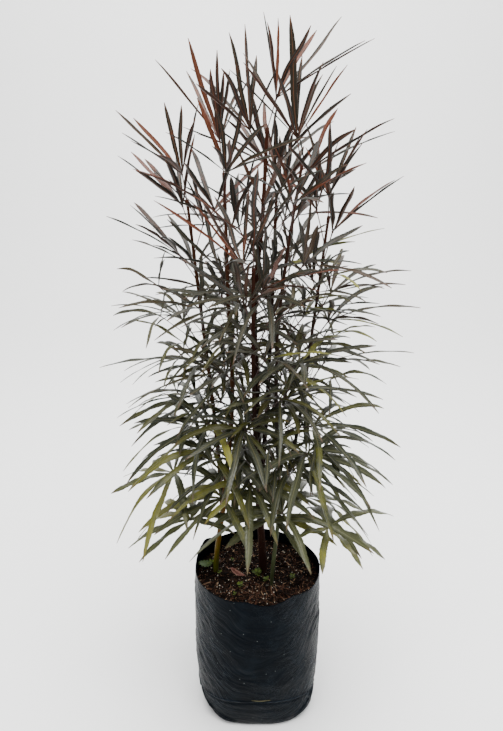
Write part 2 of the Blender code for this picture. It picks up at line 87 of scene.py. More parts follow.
def add(finish, kind, inputs=None, stops=(), **settings):
    """Adds a shader node with its settings. An input is a value, a hex colour or another output."""
    node = finish.node_tree.nodes.new("ShaderNode" + kind)
    for name, value in settings.items():
        setattr(node, name, value)
    for socket, value in (inputs or {}).items():
        if isinstance(value, bpy.types.NodeSocket):
            finish.node_tree.links.new(value, node.inputs[socket])
        else:
            node.inputs[socket].default_value = linear(value) if isinstance(value, str) else value
    for place, colour in stops[2:]:
        node.color_ramp.elements.new(place)
    for element, (place, colour) in zip(node.color_ramp.elements if stops else (), stops):
        element.position = place
        element.color = linear(colour)
    return node


def new_finish(name, **sockets):
    """A material whose shader has these values on its own sockets."""
    finish = bpy.data.materials.new(name)
    finish.use_nodes = True
    shader = finish.node_tree.nodes["Principled BSDF"]
    for socket, value in sockets.items():
        socket = socket.replace("_", " ").title().replace("Ior", "IOR")
        shader.inputs[socket].default_value = linear(value) if isinstance(value, str) else value
    return finish


def into_shader(finish, **outputs):
    """Links outputs to the sockets of the material's shader."""
    shader = finish.node_tree.nodes["Principled BSDF"]
    for socket, output in outputs.items():
        finish.node_tree.links.new(output, shader.inputs[socket.replace("_", " ")])


# The mix node has its colour sockets at these numbers.
COLOUR_A, COLOUR_B, COLOUR_OUT = 6, 7, 2

# The paper lies level from its front edge to the start of the sweep, and stands at the back.
SWEEP_FRONT = -6.0
SWEEP_START = 1.9
SWEEP_RADIUS = 1.0
SWEEP_WIDTH = 14.0
SWEEP_TOP = 4.5
SWEEP_ROWS = 34
ROOM_GLOW = 0.6

# Background paper: uncoated and white, so it shows soft shadows and no gloss.
paper = new_finish("matt_white_paper", base_color="#FAFAF9", roughness=0.9)


def lay_grid(bm, across, along, size=0.5):
    """The points of a flat grid with this many faces each way, from minus size to size."""
    made = bmesh.ops.create_grid(bm, x_segments=across, y_segments=along, size=size, calc_uvs=True)
    return made["verts"]


floor_mesh = bpy.data.meshes.new("floor")
bm = bmesh.new()
for vert in lay_grid(bm, 1, SWEEP_ROWS):
    row = round((vert.co.y + 0.5) * SWEEP_ROWS)
    bend = math.pi / 2 * (row - 1) / (SWEEP_ROWS - 2)
    x = vert.co.x * SWEEP_WIDTH
    if row == 0:
        vert.co = (x, SWEEP_FRONT, 0)
    elif row == SWEEP_ROWS:
        vert.co = (x, SWEEP_START + SWEEP_RADIUS, SWEEP_TOP)
    else:
        vert.co = (x, SWEEP_START + SWEEP_RADIUS * math.sin(bend), SWEEP_RADIUS * (1 - math.cos(bend)))
bm.to_mesh(floor_mesh)
bm.free()
floor_mesh.shade_smooth()
floor_mesh.materials.append(paper)
floor = bpy.data.objects.new("floor", floor_mesh)
bpy.context.scene.collection.objects.link(floor)

room = bpy.data.worlds.new("pale_room")
room.use_nodes = True
room.node_tree.nodes["Background"].inputs["Color"].default_value = linear("#F6F8FA")
room.node_tree.nodes["Background"].inputs["Strength"].default_value = ROOM_GLOW
bpy.context.scene.world = room

# Name, place, the point it faces, width and power in watts.
SOFT_BOXES = (
    ("top_box", (0.1, -0.6, 2.7), (0, 0, 0.6), 1.7, 150),
    ("left_box", (-2.2, -1.2, 1.3), (0, 0, 0.6), 1.4, 24),
    ("right_box", (2.2, -0.6, 1.2), (0, 0, 0.6), 1.4, 20),
    ("back_box", (0, 0.9, 2.9), (0, 3.0, 0.7), 1.8, 110),
)
for name, place, aim, width, power in SOFT_BOXES:
    lamp = bpy.data.objects.new(name, bpy.data.lights.new(name, "AREA"))
    lamp.data.size = width
    lamp.data.energy = power
    lamp.location = place
    lamp.rotation_euler = (Vector(aim) - lamp.location).to_track_quat("-Z", "Y").to_euler()
    bpy.context.scene.collection.objects.link(lamp)

# Nursery bag
# Blown black polythene film with a gusset down each side, folded flat under the root ball and
# sealed across it. The soil pushes it round, so it is creased in swags that hang from its sides.
BAG_HEIGHT = 0.302
# Height, half width, half depth and squareness of the outside, from the folded base up.
BAG_PROFILE = (
    (0.000, 0.1000, 0.0830, 2.8),
    (0.005, 0.1060, 0.0875, 2.8),
    (0.015, 0.1090, 0.0920, 2.7),
    (0.042, 0.1115, 0.0990, 2.5),
    (0.052, 0.1110, 0.1003, 2.5),
    (0.062, 0.1125, 0.1030, 2.4),
    (0.120, 0.1165, 0.1120, 2.2),
    (0.210, 0.1165, 0.1155, 2.0),
    (0.302, 0.1140, 0.1145, 2.0),
)
# The cut rim is wavy and has a few bumps: their angle in degrees, height and spread in degrees.
RIM_WAVE = 0.0010
RIM_WAVES = 5
RIM_BUMPS = ((150, 0.015, 14), (-100, 0.007, 11), (-60, 0.005, 12), (25, -0.004, 15))
# Five times thicker than the real film, so that its cut edge shows.
FILM = 0.0005
BAG_SIDES = 256
BAG_ROWS = 128
BASE_ROWS = 10
# The swags hang this much lower at the front and back than at the gussets, this half width away.
SWAG_DROP = 0.085
SWAG_POWER = 2.2
SWAG_HALF_WIDTH = 0.1150
SWAG_RELIEF = 0.0017
# Their patterns: changes round the bag and up each metre, and a shift in x and y.
STRAY = (3.0, 18.0, 0, 0)
LONG_FOLDS = (4.5, 75.0, 0, 0)
FINE_FOLDS = (11.0, 170.0, 9, 0)
SOFT_DENTS = (2.6, 16.0, 0, 5)
FOLD_PATCHES = (2.2, 11.0, 3, 0)
STRAY_HEIGHT = 0.016
FINE_SHARE = 0.7
DENT_SHARE = 0.9
# The folds are nearly gone in the middle of the front and the back, and full at the gussets.
FOLDS_AT_MIDDLE = 0.08
FOLDS_POWER = 1.5
# Height at the gussets, rise to the middle of the front, depth and half width.
CREASES = ((0.041, 0.031, 0.0013, 0.0020), (0.012, 0.006, 0.0005, 0.0014))
CREASE_WAVE = 0.0012
CREASE_WAVES = 7
# A crease and a fold have a raised lip above: its share of the depth, and how many half widths up.
CREASE_LIP = (0.8, 1.8)
FOLD_LIP = (0.7, 2.0)
# Folded corners of the base: from an angle in degrees and a height, to another, and the depth.
CORNER_FOLDS = (
    (-174, 0.066, -134, 0.012, 0.0034),
    (-150, 0.030, -112, 0.004, 0.0030),
    (-16, 0.052, -50, 0.010, 0.0036),
    (-28, 0.056, -38, 0.004, 0.0030),
    (160, 0.060, 124, 0.004, 0.0026),
    (22, 0.062, 55, 0.004, 0.0026),
)
FOLD_HALF_WIDTH = 0.0028
# A fold fades at either end over one part in this many of its length.
FOLD_FADE = 6
# Corners of the base that are tucked in: angle in degrees, spread, depth and how far up.
TUCKED_CORNERS = ((-150, 17, 0.0085, 0.034), (-36, 14, 0.0040, 0.026), (140, 15, 0.0040, 0.030))
# Each gusset is tucked in above the base, which leaves a step at both sides of it.
GUSSET_HALF = 0.16
TUCK_HEIGHT = 0.030
TUCK_SPREAD = 0.020
TUCK_DEPTH = 0.0045


def mix(pair, share):
    """The value at this share of the way from the pair's first to its second."""
    return pair[0] + (pair[1] - pair[0]) * share


def polar(radius, angle, height=0.0):
    """The point at this distance from the bag's axis, direction and height."""
    return Vector((radius * math.cos(angle), radius * math.sin(angle), height))


def rim_height(angle):
    """The cut edge of the film: wavy, with a corner that stands up at the back left."""
    height = BAG_HEIGHT + RIM_WAVE * math.sin(RIM_WAVES * angle)
    for degrees, bump, spread in RIM_BUMPS:
        away = (math.degrees(angle) - degrees + 180) % 360 - 180
        height += bump * math.exp(-((away / spread) ** 2))
    return height


def bag_radius(angle, height):
    """Radius of the bag's outside, from its profile."""
    rows = BAG_PROFILE
    i = max(j for j, row in enumerate(rows[:-1]) if row[0] <= max(0.0, height))
    share = min(1.0, (height - rows[i][0]) / (rows[i + 1][0] - rows[i][0]))
    _, half_width, half_depth, squareness = (
        low + (high - low) * share for low, high in zip(rows[i], rows[i + 1])
    )
    along = abs(math.cos(angle)) / half_width
    across = abs(math.sin(angle)) / half_depth
    return (along**squareness + across**squareness) ** (-1 / squareness)


def pattern(angle, level, kind):
    """The value, from -1 to 1, of one of the film's patterns."""
    around, upright, shift_x, shift_y = kind
    place = (around * math.cos(angle) + shift_x, around * math.sin(angle) + shift_y, level * upright)
    return noise.noise(Vector(place))


def groove(away, lip):
    """The depth of a rounded groove, less its lip, at this many half widths from its middle."""
    share, above = lip
    return math.exp(-(away**2)) - share * math.exp(-((away - above) ** 2))


def film_relief(angle, height):
    """How far the creases push the film out or in."""
    to_gusset, to_front = abs(math.cos(angle)), abs(math.sin(angle))
    swag = height - SWAG_DROP * to_gusset**SWAG_POWER + STRAY_HEIGHT * pattern(angle, height, STRAY)
    folds = pattern(angle, swag, LONG_FOLDS) + FINE_SHARE * pattern(angle, swag, FINE_FOLDS)
    patchy = 0.5 + pattern(angle, height, FOLD_PATCHES)
    strength = (FOLDS_AT_MIDDLE + (1 - FOLDS_AT_MIDDLE) * to_gusset**FOLDS_POWER) * patchy
    relief = SWAG_RELIEF * (strength * folds + DENT_SHARE * pattern(angle, height, SOFT_DENTS))
    for level, rise, depth, spread in CREASES:
        level += rise * to_front + CREASE_WAVE * math.sin(CREASE_WAVES * angle)
        relief -= depth * groove((height - level) / spread, CREASE_LIP)
    for start, high, end, low, depth in CORNER_FOLDS:
        along = (math.degrees(angle) - start) / (end - start)
        away = (height - mix((high, low), along)) / FOLD_HALF_WIDTH
        if 0 < along < 1 and abs(away) < 6:
            ends = min(1.0, FOLD_FADE * along, FOLD_FADE * (1 - along))
            relief -= depth * ends * groove(away, FOLD_LIP)
    for middle, spread, depth, high in TUCKED_CORNERS:
        away = (math.degrees(angle) - middle) / spread
        relief -= depth * math.exp(-(away**2) - (height / high) ** 2)
    beside, above = to_front / GUSSET_HALF, (height - TUCK_HEIGHT) / TUCK_SPREAD
    return relief - TUCK_DEPTH * (math.exp(-(beside**2)) * math.exp(-(above**2)))


def roll(bm, sides, rows, place):
    """A grid rolled into a tube: place gives the point at an angle and a share of its length."""
    verts = lay_grid(bm, sides, rows)
    for vert in verts:
        vert.co = place(2 * math.pi * (vert.co.x + 0.5) - math.pi, vert.co.y + 0.5)
    bmesh.ops.remove_doubles(bm, verts=verts, dist=1e-6)


def new_shape(*values, uv_map=None):
    """An empty bmesh, with the values that its finish reads from each point and its UV map."""
    bm = bmesh.new()
    if uv_map:
        bm.loops.layers.uv.new(uv_map)
    for value in values:
        bm.verts.layers.float.new(value)
    return bm


def set_down(name, data, slot, *nodes):
    """Puts a mesh or a curve in the scene. It rides on the body and stands for these nodes."""
    piece = bpy.data.objects.new(name, data)
    bpy.context.scene.collection.objects.link(piece)
    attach(piece, "root")
    if nodes:
        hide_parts(*nodes)
    return piece


def new_piece(name, bm, finishes, slot, *nodes):
    """A smooth piece from a bmesh."""
    mesh = bpy.data.meshes.new(name)
    bm.to_mesh(mesh)
    bm.free()
    for finish in finishes:
        mesh.materials.append(finish)
    mesh.shade_smooth()
    return set_down(name, mesh, slot, *nodes)


def thicken(piece, thickness, under=0):
    """Gives a sheet its thickness inwards. The new side takes the material this many slots on."""
    wall = piece.modifiers.new("thickness", "SOLIDIFY")
    wall.thickness = thickness
    wall.offset = -1
    wall.material_offset = under


def film_point(angle, share):
    """From the middle of the base, out to its edge and up the wall to the rim."""
    row = share * (BAG_ROWS + BASE_ROWS)
    if row <= BASE_ROWS:
        return polar((bag_radius(angle, 0) + film_relief(angle, 0)) * row / BASE_ROWS, angle)
    height = (row - BASE_ROWS) / BAG_ROWS * rim_height(angle)
    return polar(bag_radius(angle, height) + film_relief(angle, height), angle, height)


# LDPE film, carbon black, blown: blue black, with a soft waxy sheen that creases and dust break.
film = new_finish(
    "black_polythene_film",
    ior=1.22,
    roughness=0.38,
    specular_ior_level=0.16,
    specular_tint="#B4C8DC",
)
place = add(film, "TexCoord").outputs["Object"]
axes = add(film, "SeparateXYZ", {"Vector": place})
side = add(film, "Math", {0: axes.outputs["X"]}, operation="ABSOLUTE").outputs[0]
# Creases 3 to 5 cm long and 5 mm apart hang in swags from both sides: the pattern is drawn out
# level, packed upright and bent down towards the middle.
bent = add(film, "Math", {0: side, 1: SWAG_POWER}, operation="POWER").outputs[0]
stray = add(film, "TexNoise", {"Vector": place, "Scale": 13, "Detail": 1}).outputs["Fac"]
strayed = add(film, "Math", {0: stray, 1: 0.07, 2: axes.outputs["Z"]}, operation="MULTIPLY_ADD")
swag = add(
    film,
    "Math",
    {0: bent, 1: -SWAG_DROP * SWAG_HALF_WIDTH**-SWAG_POWER, 2: strayed.outputs[0]},
    operation="MULTIPLY_ADD",
).outputs[0]
tall = add(film, "Math", {0: swag, 1: 170.0}, operation="MULTIPLY").outputs[0]
wide = add(film, "Mapping", {"Vector": place, "Scale": (24, 24, 0)}).outputs["Vector"]
level = add(film, "SeparateXYZ", {"Vector": wide})
stretched = add(
    film, "CombineXYZ", {"X": level.outputs["X"], "Y": level.outputs["Y"], "Z": tall}
).outputs[0]
swags = add(film, "TexNoise", {"Vector": stretched, "Scale": 1, "Detail": 2, "Roughness": 0.5})
# The film is finely crumpled at the right, in facets about 8 mm across.
crumple = add(
    film,
    "TexNoise",
    {"Vector": place, "Scale": 95, "Detail": 3, "Roughness": 0.5, "Distortion": 1.4},
)
patches = add(film, "TexNoise", {"Vector": place, "Scale": 15, "Detail": 2}).outputs["Fac"]


def crests(veil, width, reach, low, high):
    """Thin lines where a noise crosses its middle, in patches and on one part of the bag alone."""
    centred = add(film, "Math", {0: veil.outputs["Fac"], 1: 0.5}, operation="SUBTRACT").outputs[0]
    away = add(film, "Math", {0: centred}, operation="ABSOLUTE").outputs[0]
    line = add(film, "MapRange", {"Value": away, "From Max": width, "To Min": 1.0, "To Max": 0.0})
    part = add(film, "MapRange", {"Value": reach, "From Min": low, "From Max": high, "To Min": 0.04})
    spread = {"Value": patches, "From Min": 0.38, "From Max": 0.60, "To Min": 0.15}
    patch = add(film, "MapRange", spread)
    shown = add(film, "Math", {0: part.outputs[0], 1: patch.outputs[0]}, operation="MULTIPLY")
    return add(film, "Math", {0: line.outputs[0], 1: shown.outputs[0]}, operation="MULTIPLY").outputs[0]


# Crest lines of the creases: they carry painted highlight in the colour and relief in the bump.
both = add(
    film,
    "Math",
    {
        0: crests(crumple, 0.035, axes.outputs["X"], -0.03, 0.05),
        1: 0.45,
        2: crests(swags, 0.055, side, 0.03, 0.095),
    },
    operation="MULTIPLY_ADD",
).outputs[0]
# A painted highlight, and a raised line in the bump, along the lip of the crease that climbs from the
# gussets to the middle of the front and the back.
depth = add(film, "Math", {0: axes.outputs["Y"]}, operation="ABSOLUTE").outputs[0]
climb = add(film, "Math", {0: depth, 1: -0.31, 2: -0.0425}, operation="MULTIPLY_ADD").outputs[0]
above = add(film, "Math", {0: axes.outputs["Z"], 1: climb}, operation="ADD").outputs[0]
near = add(film, "Math", {0: above}, operation="ABSOLUTE").outputs[0]
lip = add(film, "MapRange", {"Value": near, "From Max": 0.0016, "To Min": 1.0, "To Max": 0.0}).outputs[0]
broken = add(film, "MapRange", {"Value": patches, "From Min": 0.40, "From Max": 0.55}).outputs[0]
lines = add(film, "Math", {0: lip, 1: broken, 2: both}, operation="MULTIPLY_ADD").outputs[0]
dust = add(film, "TexNoise", {"Vector": place, "Scale": 26, "Detail": 6, "Roughness": 0.6})
haze = add(
    film,
    "ValToRGB",
    {"Fac": dust.outputs["Fac"]},
    stops=((0.32, "#020305"), (0.52, "#04070B"), (0.74, "#0B1116")),
)
# Along its creases the film is painted paler: partly stretched film whitening, partly painted highlight.
wear_and_highlight = add(film, "Math", {0: lines, 1: 0.46}, operation="MULTIPLY")
crease_scuffs_and_highlights = add(
    film,
    "Mix",
    {"Factor": wear_and_highlight.outputs[0], COLOUR_A: haze.outputs["Color"], COLOUR_B: "#2E3740"},
    data_type="RGBA",
)
# Specks of dried compost and dust, 1 to 2 mm across and about 4 cm apart.
specks = add(film, "TexVoronoi", {"Vector": place, "Scale": 125, "Randomness": 1.0})
fading = {"From Min": 0.06, "From Max": 0.13, "To Min": 0.8, "To Max": 0.0}
speck = add(film, "MapRange", {"Value": specks.outputs["Distance"], **fading})
rare = add(film, "SeparateColor", {"Color": specks.outputs["Color"]})
chosen = add(film, "Math", {0: rare.outputs["Red"], 1: 0.85}, operation="GREATER_THAN")
shown = add(film, "Math", {0: speck.outputs["Result"], 1: chosen.outputs[0]}, operation="MULTIPLY")
colour = add(
    film,
    "Mix",
    {"Factor": shown.outputs[0], COLOUR_A: crease_scuffs_and_highlights.outputs[COLOUR_OUT], COLOUR_B: "#6E7370"},
    data_type="RGBA",
)
sheen = add(film, "MapRange", {"Value": dust.outputs["Fac"], "To Min": 0.24, "To Max": 0.50})
dents = add(film, "TexNoise", {"Vector": stretched, "Scale": 0.45, "Detail": 2})
rise = add(film, "Math", {0: dents.outputs["Fac"], 1: 1.2, 2: lines}, operation="MULTIPLY_ADD")
relief = add(film, "Bump", {"Height": rise.outputs[0], "Strength": 1.0, "Distance": 0.0014})
into_shader(
    film,
    Base_Color=colour.outputs[COLOUR_OUT],
    Roughness=sheen.outputs["Result"],
    Normal=relief.outputs["Normal"],
)

bm = new_shape(uv_map="wrap")
roll(bm, BAG_SIDES, BAG_ROWS + BASE_ROWS, film_point)
bag = new_piece("bag_film", bm, [film], "film", "nursery_bag")
thicken(bag, FILM)

# Straw
# A blade of dry grass 35 mm long, bleached by the sun. It has stuck along the crease above the
# bag's base while the film was damp.
# Its ends, in metres round the front from the middle, and the height at which they lie.
STRAW_ENDS = (-0.0110, 0.0240)
STRAW_HEIGHT = 0.0815
STRAW_BOW = 0.0012
STRAW_HALF_WIDTH = 0.0008
STRAW_POINTS = (0.06, 0.94)
STRAW_THICKNESS = 0.0003
# It stands proud of the film by this much, less at its edges.
STRAW_PROUD = 0.0007
STRAW_CUP = 0.0003
STRAW_ROWS = 12


def straw_point(across, share):
    """Bowed a little along the crease, just proud of the film, and drawn out to a point at its ends."""
    x = mix(STRAW_ENDS, share)
    angle = -math.pi / 2 + x / bag_radius(-math.pi / 2, STRAW_HEIGHT)
    bow = STRAW_BOW * math.sin(math.pi * share)
    width = STRAW_HALF_WIDTH * math.sin(math.pi * mix(STRAW_POINTS, share))
    height = STRAW_HEIGHT - bow + across * width
    proud = STRAW_PROUD - STRAW_CUP * abs(across)
    return polar(bag_radius(angle, height) + film_relief(angle, height) + proud, angle, height)


# Dry grass: bleached straw yellow, smooth and a little glossy, streaked along its length.
straw = new_finish("dry_grass_straw", roughness=0.55, specular_ior_level=0.3)
place = add(straw, "TexCoord").outputs["Object"]
drawn_out = add(straw, "Mapping", {"Vector": place, "Scale": (120, 120, 2600)}).outputs["Vector"]
streaks = add(straw, "TexNoise", {"Vector": drawn_out, "Scale": 1, "Detail": 2})
colour = add(
    straw, "ValToRGB", {"Fac": streaks.outputs["Fac"]}, stops=((0.35, "#38331F"), (0.65, "#605B3A"))
)
into_shader(straw, Base_Color=colour.outputs["Color"])

bm = new_shape(uv_map="wrap")
for vert in lay_grid(bm, 2, STRAW_ROWS):
    vert.co = straw_point(2 * vert.co.x, vert.co.y + 0.5)
bmesh.ops.recalc_face_normals(bm, faces=bm.faces)
grass = new_piece("straw_in_crease", bm, [straw], "potting_mix")
thicken(grass, STRAW_THICKNESS)

# Potting mix
# Composted bark and peat with wood slivers and white perlite, tipped in loose and settled by
# watering to a low dome. The big pieces lie on top of a body of fine dark crumb.
SOIL_LEVEL = 0.281
SOIL_DOME = 0.004
# The soil keeps this far from the film, and a little more from its creases.
SOIL_GAP = 0.0016
CREASE_GAP = 0.001
SOIL_SIDES = 220
TOP_ROWS = 62
WALL_ROWS = 40
RIM_RADIUS = 0.1140
# Heights of the long lumps of loose bark and of the short ones between them.
LONG_LUMPS = 0.0016
SHORT_LUMPS = 0.0010
# Coarse and fine crumbs: how many to the metre, and their height.
CRUMBS = ((150, 0.0016), (420, 0.0009))


def soil_height(x, y):
    """A low dome with the small hollows and lumps of loose bark, 4 to 8 cm across."""
    dome = SOIL_DOME * (1 - (x * x + y * y) / RIM_RADIUS**2)
    lumps = LONG_LUMPS * math.sin(95 * x + 1) * math.cos(83 * y) + SHORT_LUMPS * math.sin(140 * y + 60 * x)
    return SOIL_LEVEL + dome + lumps


def crumb_height(x, y):
    """The same surface with its crumbs."""
    crumbs = sum(
        noise.noise(Vector((x, y, layer)) * count) * height for layer, (count, height) in enumerate(CRUMBS)
    )
    return soil_height(x, y) + crumbs


def soil_point(angle, share):
    """From the middle of the base up the wall, then in over the top."""
    row = share * (WALL_ROWS + TOP_ROWS)
    height = mix((SOIL_GAP, SOIL_LEVEL), min(1.0, max(0.0, (row - 1) / (WALL_ROWS - 1))))
    reach = bag_radius(angle, height) + min(0.0, film_relief(angle, height)) - SOIL_GAP - CREASE_GAP
    if row <= WALL_ROWS:
        return polar(reach * min(1.0, row), angle, height)
    point = polar(reach * (1 - (row - WALL_ROWS) / TOP_ROWS), angle)
    point.z = crumb_height(point.x, point.y)
    return point


# Damp compost: nearly black, matt, with brown fibre showing where it has dried.
compost = new_finish("bark_and_peat_compost", roughness=0.95, specular_ior_level=0.1)
place = add(compost, "TexCoord").outputs["Object"]
grains = add(compost, "TexNoise", {"Vector": place, "Scale": 260, "Detail": 8, "Roughness": 0.7})
colour = add(
    compost,
    "ValToRGB",
    {"Fac": grains.outputs["Fac"]},
    stops=((0.40, "#050301"), (0.56, "#120905"), (0.70, "#261509"), (0.84, "#462C1A")),
)
relief = add(compost, "Bump", {"Height": grains.outputs["Fac"], "Strength": 0.8, "Distance": 0.0015})
into_shader(compost, Base_Color=colour.outputs["Color"], Normal=relief.outputs["Normal"])

bm = new_shape(uv_map="wrap")
roll(bm, SOIL_SIDES, WALL_ROWS + TOP_ROWS, soil_point)
new_piece("potting_mix", bm, [compost], "potting_mix", "soil")

# Pieces on the soil: name, count, lengths, width share, thickness share, tints, furthest back.
LITTER = (
    ("bark_chips", 900, (0.0026, 0.0070), (0.35, 0.70), 0.22, (0.0, 0.46), 0.11),
    ("wood_slivers", 1500, (0.0024, 0.0090), (0.08, 0.18), 0.08, (0.38, 1.05), 0.11),
    ("bark_crumbs", 1700, (0.0010, 0.0024), (0.60, 0.95), 0.60, (0.0, 0.66), 0.11),
    ("bark_strips", 520, (0.0090, 0.0230), (0.055, 0.115), 0.05, (0.46, 0.92), -0.030),
)
LITTER_SEED = 101
# Pieces are scattered up to this far from the film, and the end of a chip keeps this far from it.
RIM_GAP = 0.006
CHIP_GAP = 0.004
# One end of a chip lies up to this much higher than the other. The steepest angle is in radians.
LITTER_TILT = 0.0018
STEEPEST_CHIP = 0.5
# Its middle is above the compost by this share of its thickness.
CHIP_LIFT = 0.35
# Its corners stray by these shares of its length and width, whichever comes to less.
CHIP_STRAY = (0.09, 0.35)
SCRAP_SEED = 5
SCRAP_THICKNESS = 0.0007
# Scraps that stand out in the photograph: x, y, length, width, turn in degrees and tint.
SCRAPS = (
    (-0.0797, -0.0545, 0.0120, 0.0022, -53, 0.82),
    (-0.0430, 0.0960, 0.0080, 0.0035, 10, 0.85),
    (-0.0330, 0.0980, 0.0100, 0.0028, 60, 0.78),
    (0.0130, 0.1020, 0.0060, 0.0030, 20, 0.92),
    (0.0190, 0.0960, 0.0050, 0.0030, -30, 0.88),
    (0.0535, 0.0388, 0.0100, 0.0010, 70, 0.86),
    (0.0604, 0.0421, 0.0090, 0.0009, -40, 0.84),
    (0.0564, 0.0267, 0.0110, 0.0012, -62, 0.80),
    (0.0811, 0.0020, 0.0130, 0.0011, 60, 0.98),
    (0.0845, 0.0138, 0.0060, 0.0012, 10, 0.90),
    (0.0085, -0.0580, 0.0150, 0.0014, -72, 0.98),
    (-0.0180, -0.0360, 0.0300, 0.0026, 62, 0.66),
    (0.0020, -0.0480, 0.0200, 0.0030, 75, 0.50),
)
PERLITE_SEED = 7
PERLITE_COUNT = 400
PERLITE_RADIUS = (0.0004, 0.0013)
PERLITE_LIFT = 0.8
PERLITE_STRAY = 0.2


def either_way(draw, most):
    """A value drawn from minus to plus this much."""
    return draw.uniform(-most, most)


def spot_on_soil(draw):
    """An even draw over the surface inside the rim."""
    angle = draw.uniform(-math.pi, math.pi)
    reach = (bag_radius(angle, SOIL_LEVEL) - RIM_GAP) * math.sqrt(draw.random())
    return polar(reach, angle)


# Bark: every piece its own brown, from wet black bark to dry pinkish wood.
bark_litter = new_finish("composted_pine_bark", roughness=0.85, specular_ior_level=0.15)
tint = add(bark_litter, "Attribute", attribute_name="tint").outputs["Fac"]
place = add(bark_litter, "TexCoord").outputs["Object"]
fibre = add(bark_litter, "TexNoise", {"Vector": place, "Scale": 500, "Detail": 3})
aged = add(bark_litter, "Math", {0: fibre.outputs["Fac"], 1: 0.45, 2: -0.22}, operation="MULTIPLY_ADD")
wear_and_highlight = add(bark_litter, "Math", {0: tint, 1: aged.outputs[0]}, operation="ADD")
colour = add(
    bark_litter,
    "ValToRGB",
    {"Fac": wear_and_highlight.outputs[0]},
    stops=((0.0, "#080402"), (0.30, "#1E1108"), (0.55, "#3E2518"), (0.80, "#674838"), (1.0, "#AC8E70")),
)
relief = add(bark_litter, "Bump", {"Height": fibre.outputs["Fac"], "Strength": 0.5, "Distance": 0.0006})
into_shader(bark_litter, Base_Color=colour.outputs["Color"], Normal=relief.outputs["Normal"])


def lay_chip(bm, draw, spot, length, width, thickness, heading, value):
    """A rough sliver laid on the compost, inside the film. A long one lies flatter."""
    wall = bag_radius(math.atan2(spot.y, spot.x), SOIL_LEVEL) - CHIP_GAP - length / 2
    spot *= min(1.0, wall / spot.length)
    spot.z = crumb_height(spot.x, spot.y) + thickness * CHIP_LIFT
    pitch = either_way(draw, 1) * min(STEEPEST_CHIP, LITTER_TILT / length)
    turn = Matrix.Rotation(heading, 4, "Z") @ Matrix.Rotation(pitch, 4, "Y")
    place = Matrix.Translation(spot) @ turn @ Matrix.Diagonal((length, width, thickness, 1))
    stray = min(CHIP_STRAY[0] * length, CHIP_STRAY[1] * width)
    for vert in bmesh.ops.create_cube(bm, size=1.0, matrix=place)["verts"]:
        vert.co += Vector([either_way(draw, 1) * stray for _ in range(3)])
        vert[bm.verts.layers.float["tint"]] = value


for number, (name, count, lengths, widths, flatness, tints, furthest) in enumerate(LITTER):
    draw = random.Random(LITTER_SEED + number)
    bm = new_shape("tint")
    for spot in [spot_on_soil(draw) for _ in range(count)]:
        if spot.y < furthest:
            length = mix(lengths, draw.random() ** 2)
            sizes = length, length * draw.uniform(*widths), length * flatness
            lay_chip(bm, draw, spot, *sizes, draw.uniform(0, math.pi), draw.uniform(*tints))
    new_piece(name, bm, [bark_litter], "potting_mix").data.shade_flat()

draw = random.Random(SCRAP_SEED)
bm = new_shape("tint")
for x, y, length, width, turn, value in SCRAPS:
    lay_chip(bm, draw, Vector((x, y, 0)), length, width, SCRAP_THICKNESS, math.radians(turn), value)
new_piece("pale_scraps", bm, [bark_litter], "potting_mix").data.shade_flat()

# Perlite: expanded volcanic glass, white, matt, in round puffed grains.
perlite = new_finish("expanded_perlite", base_color="#D6CEBE", roughness=0.7)
place = add(perlite, "TexCoord").outputs["Object"]
pores = add(perlite, "TexVoronoi", {"Vector": place, "Scale": 2500})
relief = add(perlite, "Bump", {"Height": pores.outputs["Distance"], "Strength": 0.5, "Distance": 0.0003})
into_shader(perlite, Normal=relief.outputs["Normal"])

draw = random.Random(PERLITE_SEED)
bm = new_shape()
for _ in range(PERLITE_COUNT):
    spot = spot_on_soil(draw)
    radius = mix(PERLITE_RADIUS, draw.random() ** 3)
    spot.z = crumb_height(spot.x, spot.y) + radius * PERLITE_LIFT
    grain = bmesh.ops.create_icosphere(bm, subdivisions=1, radius=radius, matrix=Matrix.Translation(spot))
    for vert in grain["verts"]:
        vert.co += Vector([either_way(draw, PERLITE_STRAY) * radius for _ in range(3)])
new_piece("perlite_grains", bm, [perlite], "potting_mix")

# Canes
# Three rooted stems that fork low down into seven shoots. The left one is smooth and green at
# its foot and amber above, the middle one is old and dark, and the right one is olive grey.
ROOTING_DEPTH = 0.090
CANE_TIP_RADIUS = 0.0025
# The leaves stand closer together towards the tip, and the last one is just below it.
LOWEST_LEAF = 0.425
LEAVES_PER_SHOOT = 13
LEAF_CROWDING = 0.95
LAST_LEAF_DROP = 0.004
BARK_SIDES = 16
BARK_STEP = 0.006
# Swelling under a leaf, the spread of it, how rough the bark is and how often that changes.
NODE_SWELLING = 0.0007
NODE_SPREAD = 0.006
BARK_ROUGHNESS = 0.07
RIDGES_PER_METRE = 60
# The ridges are shifted by the shoot's radius times this, so that shoots don't look alike.
RIDGE_SHIFT = 9000
# Share of the radius that is drawn, and how much wider or slimmer the foot is.
BARK_WIDTH = {"cane_left": 0.90, "cane_centre": 1.0, "cane_right": 0.86}
FOOT_FLARE = {"cane_left": -0.0008, "cane_centre": 0.0016, "cane_right": -0.0014}
FLARE_HEIGHT = 0.018
UP = Vector((0, 0, 1))


@dataclass
class Shoot:
    """A rooted stem, or one of its forks: its cane, the radius at its foot, and its path."""

    node: str
    radius: float
    path: tuple

    def is_rooted(self):
        return self.path[0][2] == SOIL_LEVEL


